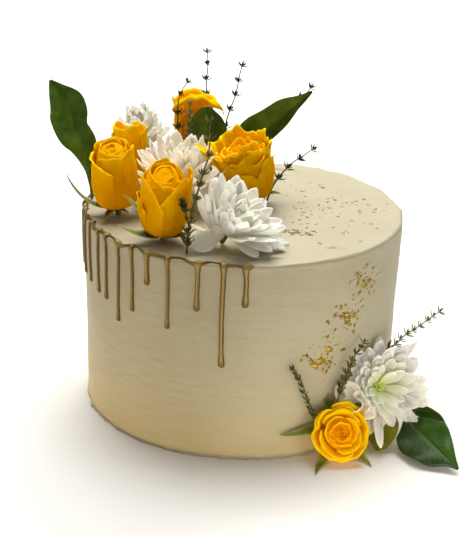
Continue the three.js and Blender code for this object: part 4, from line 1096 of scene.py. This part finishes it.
def rose_greens(flower):
    """The calyx with the end of its stem, and the sepals, which lie on the floor where they reach it."""
    stub, tall, stem, radius = flower["stub"], CALYX["tall"], CALYX["stem_radius"], CALYX["radius"]
    profile = [(0, 0), (stem * 0.9, 0), (stem, 0.4), (stem, stub), (radius * 0.85, stub + 1),
               (radius, stub + 2.2), (radius + 0.5, stub + tall), (0, stub + tall + 0.8)]
    points, faces = turned(profile)
    sheets = np.stack([sepal_sheet(flower, *sepal) for sepal in flower["sepals"]])
    sheets = over_floor(in_place(sheets, flower))
    across = petal_marks(sheets.shape[:3])["across"]
    marks = {"across": np.concatenate([np.zeros(len(points)), across])}
    return joined([(in_place(points, flower), faces), shell(sheets, SEPAL["thick"])]), marks


def build_roses():
    bloom, green = rose_finish(), green_finish()
    for number, (name, own) in enumerate(ROSES.items()):
        flower = ROSE | own
        shape, marks = rose_bloom(flower, 30 * number)
        add_piece(name + "_bloom", shape, bloom, [name], marks)
        shape, marks = rose_greens(flower)
        add_piece(name + "_greens", shape, green, [name], marks)


# Chrysanthemums

def mum_sheets(flower, petals):
    """Chrysanthemum petals as sheets. The middle of each leaves the dome at its lift and bends up
    steadily, more at the tip; the width grows from a narrow root to near the rounded tip; across, it is
    a shallow channel with two grooves."""
    along, across = sheet_grid(MUM_PETAL["rows"], MUM_PETAL["cols"])
    tilt = petals["lift"] + petals["bend"] * (along - 0.15) + MUM_PETAL["tip_bend"] * ease(along, 0.75, 1)
    tilt = np.radians(tilt)
    step = petals["long"] / (MUM_PETAL["rows"] - 1)
    out = petals["root_out"] + step * (np.cumsum(np.cos(tilt), axis=1) - np.cos(tilt))
    high = petals["root_high"] + step * (np.cumsum(np.sin(tilt), axis=1) - np.sin(tilt))
    tip = np.clip((along - MUM_PETAL["tip_from"]) / (1 - MUM_PETAL["tip_from"]), 0, 1)
    half = petals["wide"] / 2 * mix(0.34, 1, ease(along, 0, 0.62))
    half = half * (1.01 - tip ** 2) ** flower["blunt"]
    channel = petals["cup"] * across ** 2 - 0.06 * np.cos(3 * np.pi * across)
    channel = channel * half * ease(along, 0, 0.2)
    lean = petals["twist"] * along
    side = half * across * np.cos(lean) + petals["bow"] * petals["long"] * along ** 2
    rise = channel + half * across * np.sin(lean)
    x, y = spun(out - rise * np.sin(tilt), side, petals["turn"])
    return np.stack([x, y, high + rise * np.cos(tilt)], -1)


def mum_petals(flower, seed):
    """The values of a chrysanthemum's petals, outermost first, each a golden turn from the last. Length
    and width follow the flower's whorls, by the petal's lift. The florets of the eye come last."""
    count, florets = flower["count"], flower["florets"]
    number = np.arange(count + florets)
    inner = np.minimum(number / (count - 1), 1)
    small = number >= count
    middle = np.sqrt(np.clip((number - count + 1) / (florets + 1), 0, 1))
    loose = flower["loose"]

    def uneven(key, size):
        return size * (2 * scatter(number + seed + key) - 1)

    lifts, longs, wides = np.array(flower["whorls"], float).T
    lift = mix(lifts[0], lifts[-1], inner ** 0.85)
    turn = np.radians(flower["spin"] + GOLDEN_TURN * number + uneven(0.1, 9) * loose)
    gather, extra = flower["gather"]
    raised = lift + extra * np.cos(turn - math.radians(gather))
    raised = raised + uneven(0.2, 6) * loose * (1 - 0.5 * inner)
    oval, least = flower["oval"]
    near = 0.5 + 0.5 * np.cos(turn - math.radians(oval))
    long = np.interp(lift, lifts, longs) * mix(least, 1, near)
    wide = np.interp(lift, lifts, wides)
    bend = flower["bend"] * (1 + uneven(0.5, 0.5) * loose) * (1 - 0.5 * inner)
    root_out = flower["dome"] * 0.72 * np.sqrt(1 - inner ** 2) + 0.4
    values = {
        "turn": turn,
        "lift": np.where(small, FLORET["lift"] - FLORET["lean"] * middle, raised),
        "long": np.where(small, FLORET["long"] + uneven(0.3, 1), long * (1 + uneven(0.3, 0.1) * loose)),
        "wide": np.where(small, FLORET["wide"], wide * (1 + uneven(0.4, 0.14) * loose)),
        "bend": np.where(small, FLORET["bend"], bend),
        "cup": np.where(small, FLORET["cup"], flower["cup"] * (1 + uneven(0.9, 0.4) * loose)),
        "twist": uneven(0.6, 0.3) * loose,
        "bow": uneven(0.7, 0.06) * loose,
        "root_out": np.where(small, FLORET["reach"] * middle, root_out),
        "root_high": flower["rise"] - 1 + MUM_STEM["dome_tall"] * np.where(small, 0.6, inner ** 1.5),
    }
    if flower["petals"]:
        turn, lift, long, wide, bend = np.array(flower["petals"], float).T
        given = {"turn": np.radians(turn), "lift": lift, "long": long, "wide": wide, "bend": bend,
                 "cup": flower["cup"] + 0 * turn, "twist": 0 * turn, "bow": 0 * turn,
                 "root_out": flower["dome"] * 0.7 + 0 * turn, "root_high": flower["rise"] - 1 + 0 * turn}
        values = {key: np.concatenate([given[key], value]) for key, value in values.items()}
    return values, np.concatenate([np.zeros(len(flower["petals"])), inner + small])


def keep_out_tree(name):
    """The fixed solids around a flower, all but its own, to keep its petals clear of."""
    parts = []
    for node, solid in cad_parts.items():
        if node != name:
            corners = np.zeros(len(solid.data.vertices) * 3, np.float32)
            solid.data.vertices.foreach_get("co", corners)
            loops = np.zeros(len(solid.data.loops), np.int32)
            solid.data.loops.foreach_get("vertex_index", loops)
            parts.append((corners.reshape(-1, 3) / MM, loops.reshape(-1, 3)))
    points, faces = joined(parts)
    return BVHTree.FromPolygons(points.tolist(), faces.tolist())


def fitted_mum(name, flower, seed):
    """A chrysanthemum's petals, each as it grows, or lifted, or shorter, so that it stays clear of the
    other solids; a petal that fits in no way is left out."""
    tree = keep_out_tree(name)
    petals, inner = mum_petals(flower, seed)
    rows, cols = MUM_PETAL["rows"], MUM_PETAL["cols"]
    faces = grid_faces(1, rows, cols).tolist()
    chosen = np.full((len(inner), rows, cols, 3), np.nan)
    waiting = np.arange(len(inner))
    for share, extra in MUM_TRIES:
        tried = {key: value[waiting, None, None] for key, value in petals.items()}
        tried["long"] = tried["long"] * share
        tried["wide"] = tried["wide"] * share ** 0.5
        tried["lift"] = np.minimum(tried["lift"] + extra, MUM_PETAL["steepest"])
        sheets = in_place(mum_sheets(flower, tried), flower)
        left = []
        for number, sheet in zip(waiting, sheets):
            points = sheet.reshape(-1, 3)
            low = points[:, 2].min() < MUM_PETAL["lowest"]
            if low or BVHTree.FromPolygons(points.tolist(), faces).overlap(tree):
                left.append(number)
            else:
                chosen[number] = sheet
        waiting = np.array(left, int)
        if not left:
            break
    placed = ~np.isnan(chosen[:, 0, 0, 0])
    return chosen[placed], inner[placed]


def mum_bloom(name, flower, seed):
    sheets, inner = fitted_mum(name, flower, seed)
    number = np.arange(len(inner))
    marks = petal_marks(sheets.shape[:3], inner=inner, own=scatter(number + seed),
                        blush=flower["blush"] + 0.0 * number)
    return shell(sheets, MUM_PETAL["thick"]), marks


def mum_stem(flower):
    """The stem's end, the green cup under the petals and the core that carries them."""
    rise, dome, stem, tall = flower["rise"], flower["dome"], MUM_STEM["radius"], MUM_STEM["dome_tall"]
    profile = [(0, 0), (stem * 0.9, 0), (stem, 0.4), (stem, rise - 5), (dome * 0.6, rise - 3.4),
               (dome * 0.85, rise - 1.6), (dome * 0.8, rise), (dome * 0.5, rise + tall * 0.4),
               (0, rise + tall * 0.6)]
    points, faces = turned(profile)
    return in_place(points, flower), faces


def build_mums():
    white, green = mum_finish(), green_finish()
    for number, (name, own) in enumerate(MUMS.items()):
        flower = MUM | own
        node = flower.get("node", name)
        shape, marks = mum_bloom(node, flower, 500 + 30 * number)
        add_piece(name + "_bloom", shape, white, [node], marks)
        if node == name:
            add_piece(name + "_greens", mum_stem(flower), green, [name])


# Leaves

def leaf_blade(leaf):
    """A leaf's blade as a sheet: half widths to both sides of a curved middle line, folded along the
    midrib, wavy at the edges, with a sunk midrib, raised side veins and small teeth. Also gives the
    strength of the side veins at each point."""
    line = spline(leaf["middle"][leaf["blade_from"]:], BLADE["rows"])
    forward = unit(np.gradient(line, axis=0))
    side = unit(np.cross(forward, unit(np.array(leaf["face"], float))))
    up = np.cross(side, forward)
    place, across = sheet_grid(BLADE["rows"], BLADE["cols"])
    edge = np.abs(across)
    widths = np.array([leaf["left"], leaf["right"]])[..., None]
    widths = curve_at(widths, np.stack([place[:, 0]] * 2))[..., 0]
    half = np.maximum(np.where(across < 0, widths[0][:, None], widths[1][:, None]), 0.3)
    teeth = 1 + leaf["teeth"] * (2 * np.abs((place * BLADE["teeth"]) % 1 - 0.5) - 0.5) * edge ** 6
    wave = leaf["wave"] * np.sin(2 * np.pi * BLADE["waves"] * place + 2 * across)
    wave = wave * edge * half / BLADE["wide"]
    vein = np.cos(np.pi * (place * BLADE["veins"] - edge * 3.2)) ** 8
    vein = vein * ease(edge, 0.03, 0.12) * (1 - 0.6 * edge)
    rise = (BLADE["fold"] * half * edge + wave - 0.5 * np.exp(-(across / 0.07) ** 2)
            - 0.16 * vein + 0.25 * np.sin(9 * edge + 14 * place) * edge)
    out = (half * across * teeth)[..., None]
    return line[:, None] + side[:, None] * out + up[:, None] * rise[..., None], vein


def build_leaves():
    finishes = toned_finishes(leaf_finish, "leaf_", LEAF_TONES)
    for name, own in LEAVES.items():
        leaf = LEAF | own
        node = leaf.get("node", name)
        sheet, vein = leaf_blade(leaf)
        path = spline(leaf["middle"][:leaf["blade_from"] + 2], 20)[:14]
        stalk = tube(path, mix(BLADE["stalk"], 0.6, np.linspace(0, 1, len(path))))
        marks = petal_marks((1, *vein.shape)) | {"vein": np.tile(vein.reshape(-1), 2)}
        marks = with_more(marks, len(stalk[0]), {})
        shape = joined([shell(sheet[None], BLADE["thick"]), stalk])
        add_piece(name + "_blade", shape, finishes[leaf["tone"]], [node], marks)


# Thyme

def sprig_leaves(path, bare, kind, seed):
    """A sprig's leaves as sheets: at each whorl a pair of longer leaves and a few shorter ones round
    them, each a narrow pointed oval that leans away from the stem and curls in."""
    long = length_of(path)
    whorls = max(int(round(long * (1 - bare) / kind["spacing"])), 2) + 1
    per = kind["leaves"]
    whorl = np.repeat(np.arange(whorls), per)
    each = np.tile(np.arange(per), whorls)
    number = np.arange(len(whorl)) + seed
    jitter = 0.3 * (scatter(whorl + seed + 0.2) - 0.5) / whorls
    place = mix(bare, 1 - 2 / long, (whorl / (whorls - 1)) ** kind["crowd"])
    place = np.minimum(place + jitter, 1) + 0.8 / long * (each > 1)
    index = np.clip(place * (len(path) - 1), 0, len(path) - 1)
    at = np.stack([np.interp(index, np.arange(len(path)), path[:, i]) for i in range(3)], -1)
    tangent = unit(np.gradient(path, axis=0))
    forward = unit(np.stack([np.interp(index, np.arange(len(path)), tangent[:, i]) for i in range(3)], -1))
    side = unit(np.cross(forward, [0.1, 0.95, 0.2]))
    other = np.cross(side, forward)
    turn = (np.where(each < 2, each * np.pi, each * 2.4) + 0.9 * scatter(whorl + seed)
            + 0.6 * scatter(number + 0.3))
    away = side * np.cos(turn)[:, None] + other * np.sin(turn)[:, None]
    width = np.cross(forward, away)
    reach = kind["leaf"] * np.where(each < 2, 1.15, mix(0.6, 0.95, scatter(number)))
    reach = reach * mix(1, 0.72, whorl / (whorls - 1)) * mix(0.85, 1.15, scatter(whorl + seed + 0.4))
    lean = np.where(each < 2, 1.35, mix(0.7, 1.4, scatter(number + 0.6)))
    t, u = (each[..., None] for each in sheet_grid(LEAFLET["rows"], LEAFLET["cols"]))
    tilt = lean[:, None, None, None] - 0.45 * t
    at, forward, away, width = (part[:, None, None] for part in (at, forward, away, width))
    size = reach[:, None, None, None]
    half = kind["wide"] / 2 * (size / kind["leaf"]) * np.sin(np.pi * mix(0.14, 0.97, t)) ** 0.8
    heading = away * np.sin(tilt) + forward * np.cos(tilt)
    normal = forward * np.sin(tilt) - away * np.cos(tilt)
    sheets = (at + away * kind["stem"] * 0.6 + heading * t * size + width * half * u
              + normal * 0.35 * half * u ** 2)
    return sheets, scatter(number + 0.9)


def build_thyme():
    finishes = toned_finishes(thyme_finish, "thyme_", THYME_TONES)
    nodes = {"thyme_front_bud": "thyme_front"}
    for number, (name, (bare, kind_name, points)) in enumerate(SPRIGS.items()):
        kind = SPRIG | THYME[kind_name]
        path = spline(points, 48)
        path = path + 0.25 * np.stack([ripples(path, 18, 80 + number), ripples(path, 22, 90 + number),
                                       0 * path[:, 0]], -1)
        radii = mix(kind["stem"] * 1.15, kind["stem"] * 0.6, np.linspace(0, 1, len(path)))
        stalk = tube(path, radii, 7)
        sheets, own = sprig_leaves(path, bare, kind, 40 * number)
        leaves = shell(sheets, LEAFLET["thick"])
        own = np.repeat(own, sheets.shape[1] * sheets.shape[2])
        marks = {"own": np.concatenate([np.full(len(stalk[0]), 0.8), own, own])}
        add_piece(name + "_sprig", joined([stalk, leaves]), finishes[kind["tone"]],
                  [nodes.get(name, name)], marks)


# Stage

def add_camera():
    """The camera where the photograph was taken from, rolled a little."""
    rise, roll = math.radians(CAMERA["elevation"]), math.radians(CAMERA["roll"])
    back = Vector((0, -math.cos(rise), math.sin(rise)))
    level, upright = Vector((1, 0, 0)), Vector((0, math.sin(rise), math.cos(rise)))
    right = level * math.cos(roll) + upright * math.sin(roll)
    up = upright * math.cos(roll) - level * math.sin(roll)
    lens = bpy.data.cameras.new("camera")
    lens.lens, lens.sensor_width = CAMERA["lens"], CAMERA["sensor"]
    lens.clip_start, lens.clip_end = 0.05, 50
    camera = bpy.data.objects.new("camera", lens)
    place = (Vector(CAMERA["target"]) + back * CAMERA["distance"]) * MM
    camera.matrix_world = Matrix.Translation(place) @ Matrix((right, up, back)).transposed().to_4x4()
    bpy.context.scene.collection.objects.link(camera)
    bpy.context.scene.camera = camera


def add_light(name, place, aim, size, power, colour):
    """A square soft light at place, aimed at a point; places are in metres."""
    lamp = bpy.data.lights.new(name, "AREA")
    lamp.shape, lamp.size, lamp.energy, lamp.color = "SQUARE", size, power, colour
    light = bpy.data.objects.new(name, lamp)
    light.location = place
    light.visible_camera = False
    way = Vector(aim) - Vector(place)
    light.rotation_euler = way.to_track_quat("-Z", "Y").to_euler()
    bpy.context.scene.collection.objects.link(light)


def add_stage():
    """A pale floor that runs far back, soft light from above and faint light all round."""
    half = STAGE["half"]
    mesh = bpy.data.meshes.new("floor")
    mesh.from_pydata([(-half, -half, 0), (half, -half, 0), (half, half, 0), (-half, half, 0)], [],
                     [(0, 1, 2, 3)])
    finish, _, _ = new_finish("floor", {
        "Base Color": STAGE["floor"], "Roughness": 0.9, "Specular IOR Level": 0.1})
    mesh.materials.append(finish)
    floor = bpy.data.objects.new("floor", mesh)
    bpy.context.scene.collection.objects.link(floor)
    world = bpy.data.worlds.new("studio")
    world.use_nodes = True
    background = world.node_tree.nodes["Background"]
    background.inputs["Color"].default_value = (1, 1, 1, 1)
    background.inputs["Strength"].default_value = STAGE["world"]
    bpy.context.scene.world = world
    for light in LIGHTS:
        add_light(*light)
    bpy.context.scene.view_settings.view_transform = "Standard"


add_camera()
add_stage()
build_cake()
build_roses()
build_mums()
build_leaves()
build_thyme()
